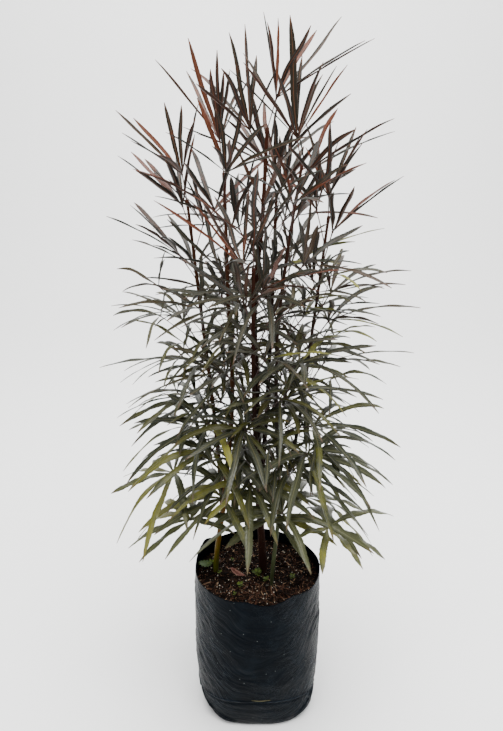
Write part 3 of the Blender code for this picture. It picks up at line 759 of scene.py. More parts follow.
SHOOTS = (
    Shoot(
        "cane_left",
        0.0056,
        (
            (-0.077, 0.005, SOIL_LEVEL),
            (-0.060, -0.004, 0.44),
            (-0.043, -0.012, 0.64),
            (-0.047, -0.014, 0.80),
            (-0.052, -0.012, 1.015),
        ),
    ),
    Shoot(
        "cane_centre",
        0.0070,
        (
            (0.010, 0.006, SOIL_LEVEL),
            (0.002, 0.004, 0.45),
            (-0.002, 0.0, 0.64),
            (-0.006, 0.0, 0.80),
            (0.006, 0.0, 0.95),
            (0.012, 0.0, 1.078),
        ),
    ),
    Shoot(
        "cane_right",
        0.0044,
        (
            (0.025, -0.038, SOIL_LEVEL),
            (0.036, -0.034, 0.44),
            (0.030, -0.030, 0.64),
            (0.030, -0.028, 0.76),
            (0.044, -0.026, 0.90),
            (0.063, -0.024, 1.03),
        ),
    ),
    Shoot(
        "cane_centre",
        0.0046,
        ((0.004, 0.004, 0.40), (0.016, 0.050, 0.60), (0.024, 0.078, 0.80), (0.030, 0.092, 0.97)),
    ),
    Shoot(
        "cane_left",
        0.0044,
        ((-0.063, -0.003, 0.40), (-0.072, 0.020, 0.56), (-0.092, 0.036, 0.76), (-0.112, 0.040, 0.965)),
    ),
    Shoot(
        "cane_centre",
        0.0042,
        ((0.005, 0.005, 0.37), (-0.004, -0.034, 0.56), (-0.008, -0.066, 0.72), (-0.008, -0.086, 0.89)),
    ),
    Shoot(
        "cane_right",
        0.0038,
        ((0.036, -0.034, 0.42), (0.066, -0.010, 0.58), (0.088, 0.006, 0.76), (0.108, 0.012, 0.945)),
    ),
)


def shoot_point(shoot, height):
    """Centre of the shoot at this height: a smooth curve through its path, upright in the soil."""
    path = [Vector(point) for point in shoot.path]
    if height <= path[0].z:
        return Vector((path[0].x, path[0].y, height))
    last = len(path) - 2
    i = min(last, sum(1 for point in path[1:] if point.z < height))
    low, high = path[i], path[i + 1]
    t = (height - low.z) / (high.z - low.z)
    before = path[i - 1] if i else low
    after = path[i + 2] if i < last else high
    # Each slope is the one between the points on either side, so neighbouring spans meet smoothly.
    run = high.z - low.z
    slope_in = (high - before) * (run / (high.z - before.z))
    slope_out = (after - low) * (run / (after.z - low.z))
    if i == 0:
        slope_in = UP * run
    point = (
        low * (2 * t**3 - 3 * t**2 + 1)
        + slope_in * (t**3 - 2 * t**2 + t)
        + high * (3 * t**2 - 2 * t**3)
        + slope_out * (t**3 - t**2)
    )
    point.z = height
    return point


def shoot_radius(shoot, height):
    """Even in the soil, then thinner towards the tip."""
    low, high = shoot.path[0][2], shoot.path[-1][2]
    return mix((shoot.radius, CANE_TIP_RADIUS), max(0.0, (height - low) / (high - low)))


def leaf_height(shoot, number):
    """Where the leaf of this number leaves its shoot, before it is nudged."""
    share = number / (LEAVES_PER_SHOOT - 1)
    return mix((LOWEST_LEAF, shoot.path[-1][2] - LAST_LEAF_DROP), share**LEAF_CROWDING)


def bark_point(shoot, angle, share):
    """The skin of a cane: swollen in a ring where each leaf sits, and a little rough all over."""
    low = SOIL_LEVEL - ROOTING_DEPTH if shoot.is_rooted() else shoot.path[0][2]
    height = mix((low, shoot.path[-1][2]), share)
    radius = shoot_radius(shoot, height) * BARK_WIDTH[shoot.node]
    for number in range(LEAVES_PER_SHOOT):
        away = (height - leaf_height(shoot, number)) / NODE_SPREAD
        if abs(away) < 3:
            radius += NODE_SWELLING * math.exp(-away * away)
    ridges = height * RIDGES_PER_METRE + shoot.radius * RIDGE_SHIFT
    radius *= 1 + BARK_ROUGHNESS * noise.noise(Vector((math.cos(angle), math.sin(angle), ridges)))
    if shoot.is_rooted():
        radius += FOOT_FLARE[shoot.node] * math.exp(-max(0.0, height - SOIL_LEVEL) / FLARE_HEIGHT)
    return shoot_point(shoot, height) + polar(radius, angle)


def bark_finish(name, stops, roughness):
    """Young bark is a tight skin over green tissue; with age it corks, in fine upright splits."""
    bark = new_finish(name, roughness=roughness, ior=1.45, specular_ior_level=0.08)
    place = add(bark, "TexCoord").outputs["Object"]
    height = add(bark, "SeparateXYZ", {"Vector": place}).outputs["Z"]
    long_grain = add(bark, "Mapping", {"Vector": place, "Scale": (1, 1, 0.12)}).outputs["Vector"]
    grain = add(bark, "TexNoise", {"Vector": long_grain, "Scale": 420, "Detail": 5})
    spots = add(bark, "TexVoronoi", {"Vector": place, "Scale": 240})
    share = add(bark, "MapRange", {"Value": height, "From Min": 0.28, "From Max": 1.0}).outputs["Result"]
    wander = add(bark, "Math", {0: grain.outputs["Fac"], 1: 0.22, 2: -0.11}, operation="MULTIPLY_ADD")
    along = add(bark, "Math", {0: share, 1: wander.outputs[0]}, operation="ADD")
    skin = add(bark, "ValToRGB", {"Fac": along.outputs[0]}, stops=stops)
    # Lenticels: breathing pores about 1 mm long, paler than the bark.
    near = {"Value": spots.outputs["Distance"], "From Min": 0.10, "From Max": 0.22}
    pores = add(bark, "MapRange", near)
    pale = add(bark, "Math", {0: 0.16, 1: pores.outputs["Result"], 2: 0.0}, operation="SUBTRACT")
    shown = add(bark, "Math", {0: pale.outputs[0], 1: 0.0}, operation="MAXIMUM")
    colour = add(
        bark,
        "Mix",
        {"Factor": shown.outputs[0], COLOUR_A: skin.outputs["Color"], COLOUR_B: "#A89878"},
        data_type="RGBA",
    )
    relief = add(bark, "Bump", {"Height": grain.outputs["Fac"], "Strength": 0.6, "Distance": 0.0006})
    into_shader(bark, Base_Color=colour.outputs[COLOUR_OUT], Normal=relief.outputs["Normal"])
    return bark


BARKS = {
    "cane_left": bark_finish(
        "amber_green_bark",
        ((0.0, "#3A400C"), (0.06, "#463F05"), (0.14, "#4E3203"), (0.30, "#3A2208"), (1.0, "#341A10")),
        0.50,
    ),
    "cane_centre": bark_finish(
        "dark_old_bark",
        ((0.0, "#1E0D07"), (0.20, "#200F08"), (0.45, "#1C100B"), (1.0, "#341A10")),
        0.85,
    ),
    "cane_right": bark_finish(
        "olive_grey_bark",
        ((0.0, "#2E321E"), (0.12, "#343A24"), (0.40, "#22201A"), (1.0, "#341A10")),
        0.5,
    ),
}
for node, bark in BARKS.items():
    bm = new_shape(uv_map="wrap")
    for shoot in SHOOTS:
        if shoot.node == node:
            rows = round((shoot.path[-1][2] - shoot.path[0][2]) / BARK_STEP)
            roll(bm, BARK_SIDES, rows, partial(bark_point, shoot))
    bmesh.ops.holes_fill(bm, edges=[edge for edge in bm.edges if edge.is_boundary], sides=BARK_SIDES)
    new_piece(node + "_bark", bm, [bark], "foliage", node)

# Leaf stalks
# Each leaf stands on a long thin stalk that clasps the cane with a swollen foot and ends in a
# knuckle. The leaves are placed by one rule, from the foot of the plant up, each clear of the rest.
DOWN = Vector((0, 0, -1))
# A leaflet widens up to the first share of its length and narrows from the second.
BLADE_FOOT = 0.32
BLADE_TAPER = 0.60
# Simple shells a little outside the real shapes keep leaves apart. They have rings at these shares
# of a stalk and of a leaflet. A stalk's is thicker at its foot by a share, and a leaflet's widens
# and narrows by these powers.
MARGIN = 0.0011
STALK_SIDES = 4
STALK_TAPER = 0.25
STALK_STATIONS = (0.0, 0.28, 0.62, 1.0)
KNUCKLE_RADIUS = 0.0032
KNUCKLE_END = 1.04
BLADE_STATIONS = (0.02, 0.10, 0.34, 0.58, 0.82, 1.0)
SHELL_POWERS = (1.1, 2.2)
SHELL_FOOT = 0.0018
SHELL_KEEL = 0.0013


@dataclass
class Stalk:
    """A leaf stalk, sagging a little from a straight line."""

    start: Vector
    heading: Vector
    length: float
    sag: float
    radius: float

    def at(self, t):
        """The point at this share of its length."""
        return self.start + (self.heading * t + DOWN * (self.sag * t * t / 2)) * self.length

    def ring(self, t, extra):
        """Points round the stalk, this much outside its skin."""
        across = self.heading.cross(UP).normalized()
        over = across.cross(self.heading).normalized()
        radius = self.radius * (1 + STALK_TAPER - STALK_TAPER * t) + extra
        turns = [2 * math.pi * i / STALK_SIDES for i in range(STALK_SIDES)]
        return [self.at(t) + (across * math.cos(a) + over * math.sin(a)) * radius for a in turns]

    def shell(self):
        """Rings of a slightly thicker stalk with its knuckle."""
        rings = [self.ring(t, MARGIN) for t in STALK_STATIONS]
        return [*rings, self.ring(1.0, KNUCKLE_RADIUS), self.ring(KNUCKLE_END, KNUCKLE_RADIUS)]


@dataclass
class Blade:
    """A leaflet: its midrib is an arch that gravity bends down and that sways to one side."""

    start: Vector
    heading: Vector
    side: Vector
    length: float
    width: float
    droop: float
    sway: float

    def at(self, t):
        """The point of the midrib at this share of its length."""
        bend = DOWN * (self.droop * t * t / 2) + self.side * (self.sway * t * t / 2)
        return self.start + (self.heading * t + bend) * self.length

    def frame(self, t):
        """The width direction and the upper face's direction."""
        along = (self.heading + DOWN * (self.droop * t) + self.side * (self.sway * t)).normalized()
        across = (self.side - along * self.side.dot(along)).normalized()
        return across, along.cross(across)

    def half_width(self, t, foot_power, tip_power):
        """Narrow at the foot, then strap shaped, then drawn out to a fine tip."""
        foot = min(1.0, t / BLADE_FOOT) ** foot_power
        tip = 1.0 - max(0.0, (t - BLADE_TAPER) / (1.0 - BLADE_TAPER)) ** tip_power
        return 0.5 * self.width * foot * tip

    def shell(self):
        """Rings of a slightly larger blade."""
        rings = []
        for t in BLADE_STATIONS:
            across, over = self.frame(t)
            half = max(SHELL_FOOT * (1 - t), self.half_width(t, *SHELL_POWERS)) + MARGIN
            centre = self.at(t)
            keel = centre - over * (SHELL_KEEL + MARGIN)
            rings.append([centre + across * half, centre + over * MARGIN, centre - across * half, keel])
        return rings


@dataclass
class Whorl:
    """The end of a stalk: the axis that its leaflets spread round, and two directions across it."""

    centre: Vector
    axis: Vector
    out: Vector
    side: Vector

    def around(self, angle):
        """The direction at this angle round the axis."""
        return self.out * math.cos(angle) + self.side * math.sin(angle)


@dataclass
class Leaf:
    """A leaf, with its share of the way up the shoot and the length of its leaflets."""

    stalk: Stalk
    whorl: Whorl
    blades: list
    share: float
    size: float


def tree_of(rings):
    """A search tree of the tube through rings of points."""
    sides = len(rings[0])
    points = [point for ring in rings for point in ring]
    quads = []
    for row in range(len(rings) - 1):
        for i in range(sides):
            a = row * sides + i
            b = row * sides + (i + 1) % sides
            quads.append((a, b, b + sides, a + sides))
    return BVHTree.FromPolygons(points, quads)


def is_clear(tree, others, except_for=()):
    """Whether it touches none of the others, apart from those that it grows from."""
    return not any(tree.overlap(other) for other in others if other not in except_for)


def end_of(blade):
    """A search tree of the blade without its foot, where it may touch its neighbours."""
    return tree_of(blade.shell()[2:])


# Each rule has the value low down, the one at the top, and the power of the height between them.
STALK_LENGTH = (0.088, 0.052, 1.0)
STALK_RISE = (14.0, 74.0, 0.65)
STALK_SAG = (0.25, 0.08, 1.0)
STALK_RADIUS = (0.0016, 0.0010, 1.0)
WHORL_TILT = (24.0, 20.0, 1.0)
WHORL_OPENING = (78.0, 34.0, 0.85)
LEAFLET_LENGTH = (0.162, 0.166, 1.0)
LEAFLET_WIDTH = (0.0146, 0.0068, 0.75)
LEAFLET_DROOP = (1.45, 0.10, 0.8)
CLOSEST_OPENING = 20.0
# Chance changes an angle by up to these degrees, and the rest to a share between these.
RISE_STRAY = 7
TILT_STRAY = 12
TURN_STRAY = 9
OPENING_STRAY = 9
STALK_SHARES = (0.82, 1.15)
SIZE_SHARES = (0.9, 1.1)
LENGTH_SHARES = (0.90, 1.08)
WIDTH_SHARES = (0.86, 1.12)
DROOP_SHARES = (0.6, 1.3)
# By its tip a leaflet's direction has swayed to one side by this slope at most.
SWAY = 0.22
# What a stalk or a leaflet gives up of its length or droop, at most, to find room.
STALK_YIELD = 0.45
LENGTH_YIELD = 0.3
DROOP_YIELD = 0.6
# Leaflets that point back to the cane have this share of the others' length.
INNER_LEAFLET_SHARE = 0.74


def grown(rule, share):
    """A measure at this share of the way up a shoot, by its rule."""
    low, high, power = rule
    return mix((low, high), share**power)


def whorl_of(stalk, azimuth, tilt):
    """The whorl at a stalk's end, its axis tilted outwards from upright."""
    outward = polar(1.0, azimuth)
    axis = outward * math.sin(tilt) + UP * math.cos(tilt)
    out = outward * math.cos(tilt) - UP * math.sin(tilt)
    return Whorl(stalk.at(1.0), axis, out, axis.cross(out))


def draw_blade(draw, whorl, turn, share, size, strain):
    """One leaflet of a whorl. Strain, from 0 to 1, lets it stray and shorten to find room."""
    turn += math.radians(either_way(draw, TURN_STRAY))
    opening = grown(WHORL_OPENING, share) + either_way(draw, OPENING_STRAY * (1 + strain))
    opening = math.radians(max(CLOSEST_OPENING, opening))
    radial = whorl.around(turn)
    inward = (1 - math.cos(turn)) / 2
    length = size * mix((1.0, INNER_LEAFLET_SHARE), inward) * draw.uniform(*LENGTH_SHARES)
    return Blade(
        start=whorl.centre,
        heading=whorl.axis * math.cos(opening) + radial * math.sin(opening),
        side=whorl.axis.cross(radial),
        length=length * (1 - LENGTH_YIELD * strain),
        width=grown(LEAFLET_WIDTH, share) * draw.uniform(*WIDTH_SHARES),
        droop=grown(LEAFLET_DROOP, share) * draw.uniform(*DROOP_SHARES) * (1 - DROOP_YIELD * strain),
        sway=either_way(draw, SWAY),
    )


def draw_stalk(draw, shoot, height, share, azimuth, strain):
    """The stalk of a main leaf. Strain, from 0 to 1, shortens it to find room."""
    rise = math.radians(grown(STALK_RISE, share) + either_way(draw, RISE_STRAY))
    return Stalk(
        start=shoot_point(shoot, height),
        heading=polar(math.cos(rise), azimuth, math.sin(rise)),
        length=grown(STALK_LENGTH, share) * draw.uniform(*STALK_SHARES) * (1 - STALK_YIELD * strain),
        sag=grown(STALK_SAG, share),
        radius=grown(STALK_RADIUS, share),
    )


# No tip hangs lower than this. Towards the viewer they hang higher by this share, and over the
# bag's mouth by this much, but for those in one narrow span.
LOWEST_TIP = 0.292
FRONT_LIFT = 0.70
MOUTH_LIFT = 0.045
MOUTH_SPAN = (-0.105, 0.075)
HANGING_SPAN = (-0.026, 0.0)
# How far from the middle a tip may be, up to the first height and from the second on.
REACH = (0.258, 0.205)
REACH_HEIGHTS = (0.80, 1.15)


def is_in_reach(blade):
    """Whether its tip hangs neither too low nor too far out."""
    tip = blade.at(1.0)
    rise = (tip.z - REACH_HEIGHTS[0]) / (REACH_HEIGHTS[1] - REACH_HEIGHTS[0])
    lowest = LOWEST_TIP + FRONT_LIFT * max(0.0, -tip.y)
    is_over_mouth = MOUTH_SPAN[0] < tip.x < MOUTH_SPAN[1]
    if is_over_mouth and not HANGING_SPAN[0] < tip.x < HANGING_SPAN[1]:
        lowest += MOUTH_LIFT
    return tip.z > lowest and math.hypot(tip.x, tip.y) < mix(REACH, min(1.0, max(0.0, rise)))


MAIN_LEAFLETS = 5
FEWEST_LEAFLETS = 3
STALK_TRIES = 12
LEAFLET_TRIES = 14
LEAF_NUDGE = 0.006
# From leaf to leaf the stalks turn by the golden share of the sides that are open to them. Each
# shoot starts from another direction.
GOLDEN_SHARE = 0.381966
SHOOT_SHIFT = 7
# Degrees by which a stalk's direction may stray at its first try, and more at each one after.
HEADING_STRAY = 8
STRAY_PER_TRY = 11
# A shoot whose tip stands out from the middle has its leaves within this angle of that side.
OUTER_TIP = 0.03
OUTER_SPREAD = 125


def draw_leaf(draw, shoot, number, taken, own_stems):
    """The first leaf found that is clear of what is already there, or None.

    Its stalk may start in its own stems.
    """
    share = number / (LEAVES_PER_SHOOT - 1)
    height = leaf_height(shoot, number) + either_way(draw, LEAF_NUDGE) * (1 - share)
    tip = Vector(shoot.path[-1][:2])
    is_outer = tip.length > OUTER_TIP
    facing = math.atan2(tip.y, tip.x) if is_outer else -math.pi / 2
    spread = math.radians(OUTER_SPREAD) if is_outer else math.pi
    step = ((number * GOLDEN_SHARE + SHOOT_SHIFT * tip.x) % 1.0) * 2 - 1
    for attempt in range(STALK_TRIES):
        wander = either_way(draw, 1) * (HEADING_STRAY + STRAY_PER_TRY * attempt)
        azimuth = facing + step * spread + math.radians(wander)
        stalk = draw_stalk(draw, shoot, height, share, azimuth, attempt / (STALK_TRIES - 1))
        stalk_tree = tree_of(stalk.shell())
        if not is_clear(stalk_tree, taken, own_stems):
            continue
        tilt = math.radians(grown(WHORL_TILT, share) + either_way(draw, TILT_STRAY))
        whorl = whorl_of(stalk, azimuth, tilt)
        size = grown(LEAFLET_LENGTH, share) * draw.uniform(*SIZE_SHARES)
        blades, trees, ends = [], [stalk_tree], [stalk_tree]
        for i in range(MAIN_LEAFLETS):
            turn = 2 * math.pi * i / MAIN_LEAFLETS
            for nudge in range(LEAFLET_TRIES):
                blade = draw_blade(draw, whorl, turn, share, size, nudge / (LEAFLET_TRIES - 1))
                tree, end = tree_of(blade.shell()), end_of(blade)
                if is_in_reach(blade) and is_clear(tree, taken) and is_clear(end, ends):
                    blades.append(blade)
                    trees.append(tree)
                    ends.append(end)
                    break
        if len(trees) > FEWEST_LEAFLETS:
            taken.extend(trees)
            return Leaf(stalk, whorl, blades, share, size)
    return None


# A drum this much wider and taller than the bag keeps the leaves out of its mouth.
DRUM_GAP = 0.005
DRUM_LID = 0.012
DRUM_SIDES = 16
CANE_SIDES = 6
CANE_STEP = 0.075


def ring_round(centre, radius, sides):
    """Points on a level circle."""
    return [centre + polar(radius, 2 * math.pi * i / sides) for i in range(sides)]


def bag_drum():
    """A search tree of a plain drum over the bag and its mouth, which no leaf may enter."""
    radius, top = BAG_PROFILE[-2][1] + DRUM_GAP, BAG_HEIGHT + DRUM_LID
    outline = ((radius, 0.0), (radius, top), (radius / 2, top), (0.001, top))
    return tree_of([ring_round(Vector((0, 0, height)), reach, DRUM_SIDES) for reach, height in outline])


def stem_of(shoot):
    """A search tree of a shoot, a little thicker, from its foot in the soil or its fork to its tip."""
    low, high = shoot.path[0][2], shoot.path[-1][2]
    count = round((high - low) / CANE_STEP)
    heights = [mix((low, high), i / count) for i in range(count + 1)]
    if shoot.is_rooted():
        heights.insert(0, SOIL_LEVEL - ROOTING_DEPTH)
    places = [(shoot_point(shoot, height), shoot_radius(shoot, height) + MARGIN) for height in heights]
    return tree_of([ring_round(centre, radius, CANE_SIDES) for centre, radius in places])


def stems_with(shoot, stems):
    """The stems of the cane that the shoot belongs to."""
    return [stem for stem, other in zip(stems, SHOOTS) if other.node == shoot.node]


SEED = 7


def draw_foliage(taken, stems):
    """The leaves of each shoot, from the lowest up. The same seed always gives the same plant."""
    draw = random.Random(SEED)
    foliage = [[] for _ in SHOOTS]
    for number in range(LEAVES_PER_SHOOT):
        for shoot, leaves in zip(SHOOTS, foliage):
            leaf = draw_leaf(draw, shoot, number, taken, stems_with(shoot, stems))
            if leaf:
                leaves.append(leaf)
    return foliage


# Small young leaves come from side buds, on steep thin stalks that cross between the older ones.
INNER_LEAVES = 24
INNER_HEIGHTS = (0.44, 0.78)
INNER_NUDGE = 0.01
INNER_RISE = (42, 72)
INNER_SAG = (-0.15, 0.25)
INNER_TILT = (0, 45)
INNER_STALK_LENGTH = (0.070, 0.135)
INNER_STALK_RADIUS = 0.0008
INNER_MARGIN = 0.0004
INNER_SIZE = (0.085, 0.125)
INNER_WIDTH_SHARE = 0.66
# They look like main leaves at about the same height, but never like the lowest or the topmost.
INNER_SPAN = 0.62
INNER_SHARES = (0.85, 1.15)
YOUNGEST_INNER = 0.95
OLDEST_INNER = 0.30
# Each direction strays by up to half a radian, and a leaf without room tries six, a radian apart.
INNER_STRAY = 0.5
INNER_TRIES = 6
INNER_SEED = 53
BOX_MARGIN = 0.001


def is_in_box(blade):
    """Whether the outer half of the blade is inside the CAD model's box."""
    return all(
        low + BOX_MARGIN < blade.at(t)[axis] < high - BOX_MARGIN
        for t in (0.5, 0.8, 1.0)
        for axis, (low, high) in enumerate(zip(*cad_box))
    )


def take_room(blade, taken):
    """Whether the blade has room. If it has, the room is taken."""
    end = end_of(blade)
    has_room = is_in_reach(blade) and is_in_box(blade) and is_clear(end, taken)
    if has_room:
        taken.append(end)
    return has_room


def draw_inner_leaf(draw, shoot, height, azimuth, taken, own_stems):
    """A small leaf at this height and direction, or None where it has no room."""
    rise = math.radians(draw.uniform(*INNER_RISE))
    stalk = Stalk(
        start=shoot_point(shoot, height),
        heading=polar(math.cos(rise), azimuth, math.sin(rise)),
        length=draw.uniform(*INNER_STALK_LENGTH),
        sag=draw.uniform(*INNER_SAG),
        radius=INNER_STALK_RADIUS,
    )
    stalk_tree = tree_of([stalk.ring(t, INNER_MARGIN) for t in STALK_STATIONS])
    if not is_clear(stalk_tree, taken, own_stems):
        return None
    share = min(1.0, max(0.0, (height - LOWEST_LEAF) / INNER_SPAN)) * draw.uniform(*INNER_SHARES)
    share = min(YOUNGEST_INNER, max(OLDEST_INNER, share))
    whorl = whorl_of(stalk, azimuth, math.radians(draw.uniform(*INNER_TILT)))
    size = draw.uniform(*INNER_SIZE)
    leaf = Leaf(stalk, whorl, [], share, size)
    for i in range(MAIN_LEAFLETS):
        blade = draw_blade(draw, whorl, 2 * math.pi * i / MAIN_LEAFLETS, share, size, 0.0)
        blade.width *= INNER_WIDTH_SHARE
        if take_room(blade, taken):
            leaf.blades.append(blade)
    taken.append(stalk_tree)
    return leaf


def draw_inner_foliage(taken, stems):
    """The small leaves of each shoot, each turned by the golden angle from the one below."""
    draw = random.Random(INNER_SEED)
    foliage = []
    for shoot in SHOOTS:
        own_stems = stems_with(shoot, stems)
        leaves = []
        for number in range(INNER_LEAVES):
            height = mix(INNER_HEIGHTS, number / INNER_LEAVES) + either_way(draw, INNER_NUDGE)
            azimuth = 2 * math.pi * number * GOLDEN_SHARE + either_way(draw, INNER_STRAY)
            for turn in range(INNER_TRIES):
                leaf = draw_inner_leaf(draw, shoot, height, azimuth + turn, taken, own_stems)
                if leaf:
                    leaves.append(leaf)
                    break
        foliage.append(leaves)
    return foliage


stems = [stem_of(shoot) for shoot in SHOOTS]
taken = [bag_drum(), *stems]
foliage = draw_foliage(taken, stems)
inner_foliage = draw_inner_foliage(taken, stems)

# Long young leaflets that stand up in the crown: shoot, its leaf counted from the top, tip, width
# and the direction in degrees that the upper face looks in.
CROWN_LEAFLETS = (
    (1, -2, (-0.0420, -0.0200, 1.2070), 0.0080, -70),
    (1, -2, (-0.0203, 0.0300, 1.2176), 0.0060, 60),
    (0, -1, (-0.1002, 0.0000, 1.1994), 0.0070, -110),
    (0, -1, (-0.0589, -0.0200, 1.1841), 0.0050, 80),
    (2, -1, (0.0412, -0.0300, 1.2285), 0.0095, -80),
)
for shoot, number, tip, width, facing in CROWN_LEAFLETS:
    leaf = foliage[shoot][number]
    run = Vector(tip) - leaf.whorl.centre
    side = polar(1.0, math.radians(facing)).cross(run).normalized()
    blade = Blade(leaf.whorl.centre, run.normalized(), side, run.length, width, droop=0.0, sway=0.0)
    leaf.blades.append(blade)
    taken.append(end_of(blade))


def leaves_of(node):
    """For each shoot of a cane, its main leaves and its small inner ones."""
    return [pair for shoot, *pair in zip(SHOOTS, foliage, inner_foliage) if shoot.node == node]


def new_line(name, thickness, finish):
    """An empty curve with a round section and closed ends."""
    line = bpy.data.curves.new(name, "CURVE")
    line.dimensions = "3D"
    line.bevel_depth = thickness
    line.bevel_resolution = 1
    line.use_fill_caps = True
    line.materials.append(finish)
    return line


# Stalk skin: wine red to brown where the light reaches it, olive in the shade low down.
stalk_skin = new_finish("wine_brown_leaf_stalk", roughness=0.45, ior=1.45)
place = add(stalk_skin, "TexCoord").outputs["Object"]
height = add(stalk_skin, "SeparateXYZ", {"Vector": place}).outputs["Z"]
mottle = add(stalk_skin, "TexNoise", {"Vector": place, "Scale": 60, "Detail": 4})
share = add(stalk_skin, "MapRange", {"Value": height, "From Min": 0.40, "From Max": 1.08})
wander = add(stalk_skin, "Math", {0: mottle.outputs["Fac"], 1: 0.7, 2: -0.35}, operation="MULTIPLY_ADD")
along = add(stalk_skin, "Math", {0: share.outputs["Result"], 1: wander.outputs[0]}, operation="ADD")
colour = add(
    stalk_skin,
    "ValToRGB",
    {"Fac": along.outputs[0]},
    stops=((0.0, "#3A3A1C"), (0.22, "#301F16"), (0.5, "#311710"), (1.0, "#431A0F")),
)
into_shader(stalk_skin, Base_Color=colour.outputs["Color"])

# A stalk is drawn slimmer than its solid, and swells at its clasping foot and under its knuckle:
# by how much, and over what share of its length.
STALK_POINTS = 9
STALK_WIDTH = 0.82
FOOT_SWELLING = (1.3, 0.05)
TOP_SWELLING = (0.5, 0.04)
KNUCKLE_WIDTH = 1.75
LINE_THICKNESS = 0.001

for node in BARKS:
    line = new_line(node + "_stalks", LINE_THICKNESS, stalk_skin)
    knuckles = new_shape()
    for main, inner in leaves_of(node):
        for leaf in main + inner:
            radius = leaf.stalk.radius
            spline = line.splines.new("POLY")
            spline.points.add(STALK_POINTS - 1)
            for i, point in enumerate(spline.points):
                t = i / (STALK_POINTS - 1)
                foot = FOOT_SWELLING[0] * math.exp(-t / FOOT_SWELLING[1])
                top = TOP_SWELLING[0] * math.exp((t - 1) / TOP_SWELLING[1])
                point.co = (*leaf.stalk.at(t), 1)
                point.radius = radius * STALK_WIDTH * (1 + foot + top) / line.bevel_depth
            end = Matrix.Translation(leaf.whorl.centre)
            bmesh.ops.create_icosphere(knuckles, subdivisions=2, radius=radius * KNUCKLE_WIDTH, matrix=end)
    set_down(node + "_stalks", line, "foliage", node)
    new_piece(node + "_knuckles", knuckles, [stalk_skin], "foliage", node)

# Leaflets
# Narrow leathery leaflets spread from each knuckle like fingers. Each is folded along its pale
# midrib and cut into forward teeth: broad and olive low down, thin and copper red at the top.
TEETH = 11
TOOTH_START = 0.10
TOOTH_STEP = 0.079
TOOTH_DEPTH = (0.13, 0.045)
TOOTH_LEAN = 0.018
LEAFLET_ROWS = 2 * TEETH + 2
# Half way up the plant the cut edges draw in, so the leaflets look this much slimmer.
SLIMMER_MIDDLE = 0.12
# How soon a leaflet widens from its foot, and how late it narrows to its tip.
STRAP_POWERS = (0.85, 2.8)
# Its half width is at least both of these together at its foot, and the second at its point.
NARROW_FOOT = 0.0008
NARROW_TIP = 0.0002
# Half the midrib's width low down and at the top, its share of the leaflet, taper and rise.
MIDRIB_HALF = (0.0009, 0.0005)
WIDEST_MIDRIB = 0.4
MIDRIB_TAPER = 0.6
MIDRIB_RISE = 0.00035
# How far it turns about its midrib from foot to tip, in radians, at most.
TWIST = 0.55
# How steeply its halves fold up, low down and at the top.
FOLD = (0.16, 0.55)
# How far a leaflet weaves to either side along its length, and through what angle.
WEAVE = 0.0028
WEAVE_ANGLE = 5.5
# How many waves its edges have, and how high they are as a share of its width.
WAVES = (1.6, 3.2)
WAVE_HEIGHT = (0.13, 0.07)
LEAFLET_THICKNESS = 0.0005


def row_share(row):
    """Where a row of the grid lies along the leaflet: its foot, the teeth by turns, the tip."""
    if row == 0:
        return 0.0
    if row == LEAFLET_ROWS:
        return 1.0
    return TOOTH_START + (row - 1.5) * TOOTH_STEP / 2


# Some leaflets at the plant's right, at these shares of the height, have yellowed like old ones.
YELLOWED_FROM = 0.12
YELLOWED_HEIGHTS = (0.3, 0.8)
YELLOWED_CHANCE = 0.35
YELLOWED_TINT = 0.68
# The lowest leaves are greener at the plant's right than at its left.
LOW_LEAVES = 0.3
GREEN_FROM = -0.03
LEFT_TINT_POWER = 1.6
RIGHT_TINT_SHARE = 0.7
# Tip of the one bright yellow leaflet that hangs at the front, and how near a tip is to be it.
YELLOW_TIP = Vector((-0.0345, -0.1797, 0.5910))
SAME_TIP = 0.005


def rank_and_tint(blade, share, value, draw):
    """A leaflet's place from the oldest, 0, to the youngest, 1, and how blotched it is."""
    tip = blade.at(1.0)
    is_at_right = tip.x > YELLOWED_FROM and YELLOWED_HEIGHTS[0] < share < YELLOWED_HEIGHTS[1]
    is_yellowed = is_at_right and draw.random() < YELLOWED_CHANCE
    if (tip - YELLOW_TIP).length < SAME_TIP:
        return 0.0, 1.0
    if is_yellowed:
        return 0.0, YELLOWED_TINT
    if share < LOW_LEAVES:
        value = value**LEFT_TINT_POWER if tip.x < GREEN_FROM else RIGHT_TINT_SHARE * value
    return share, value


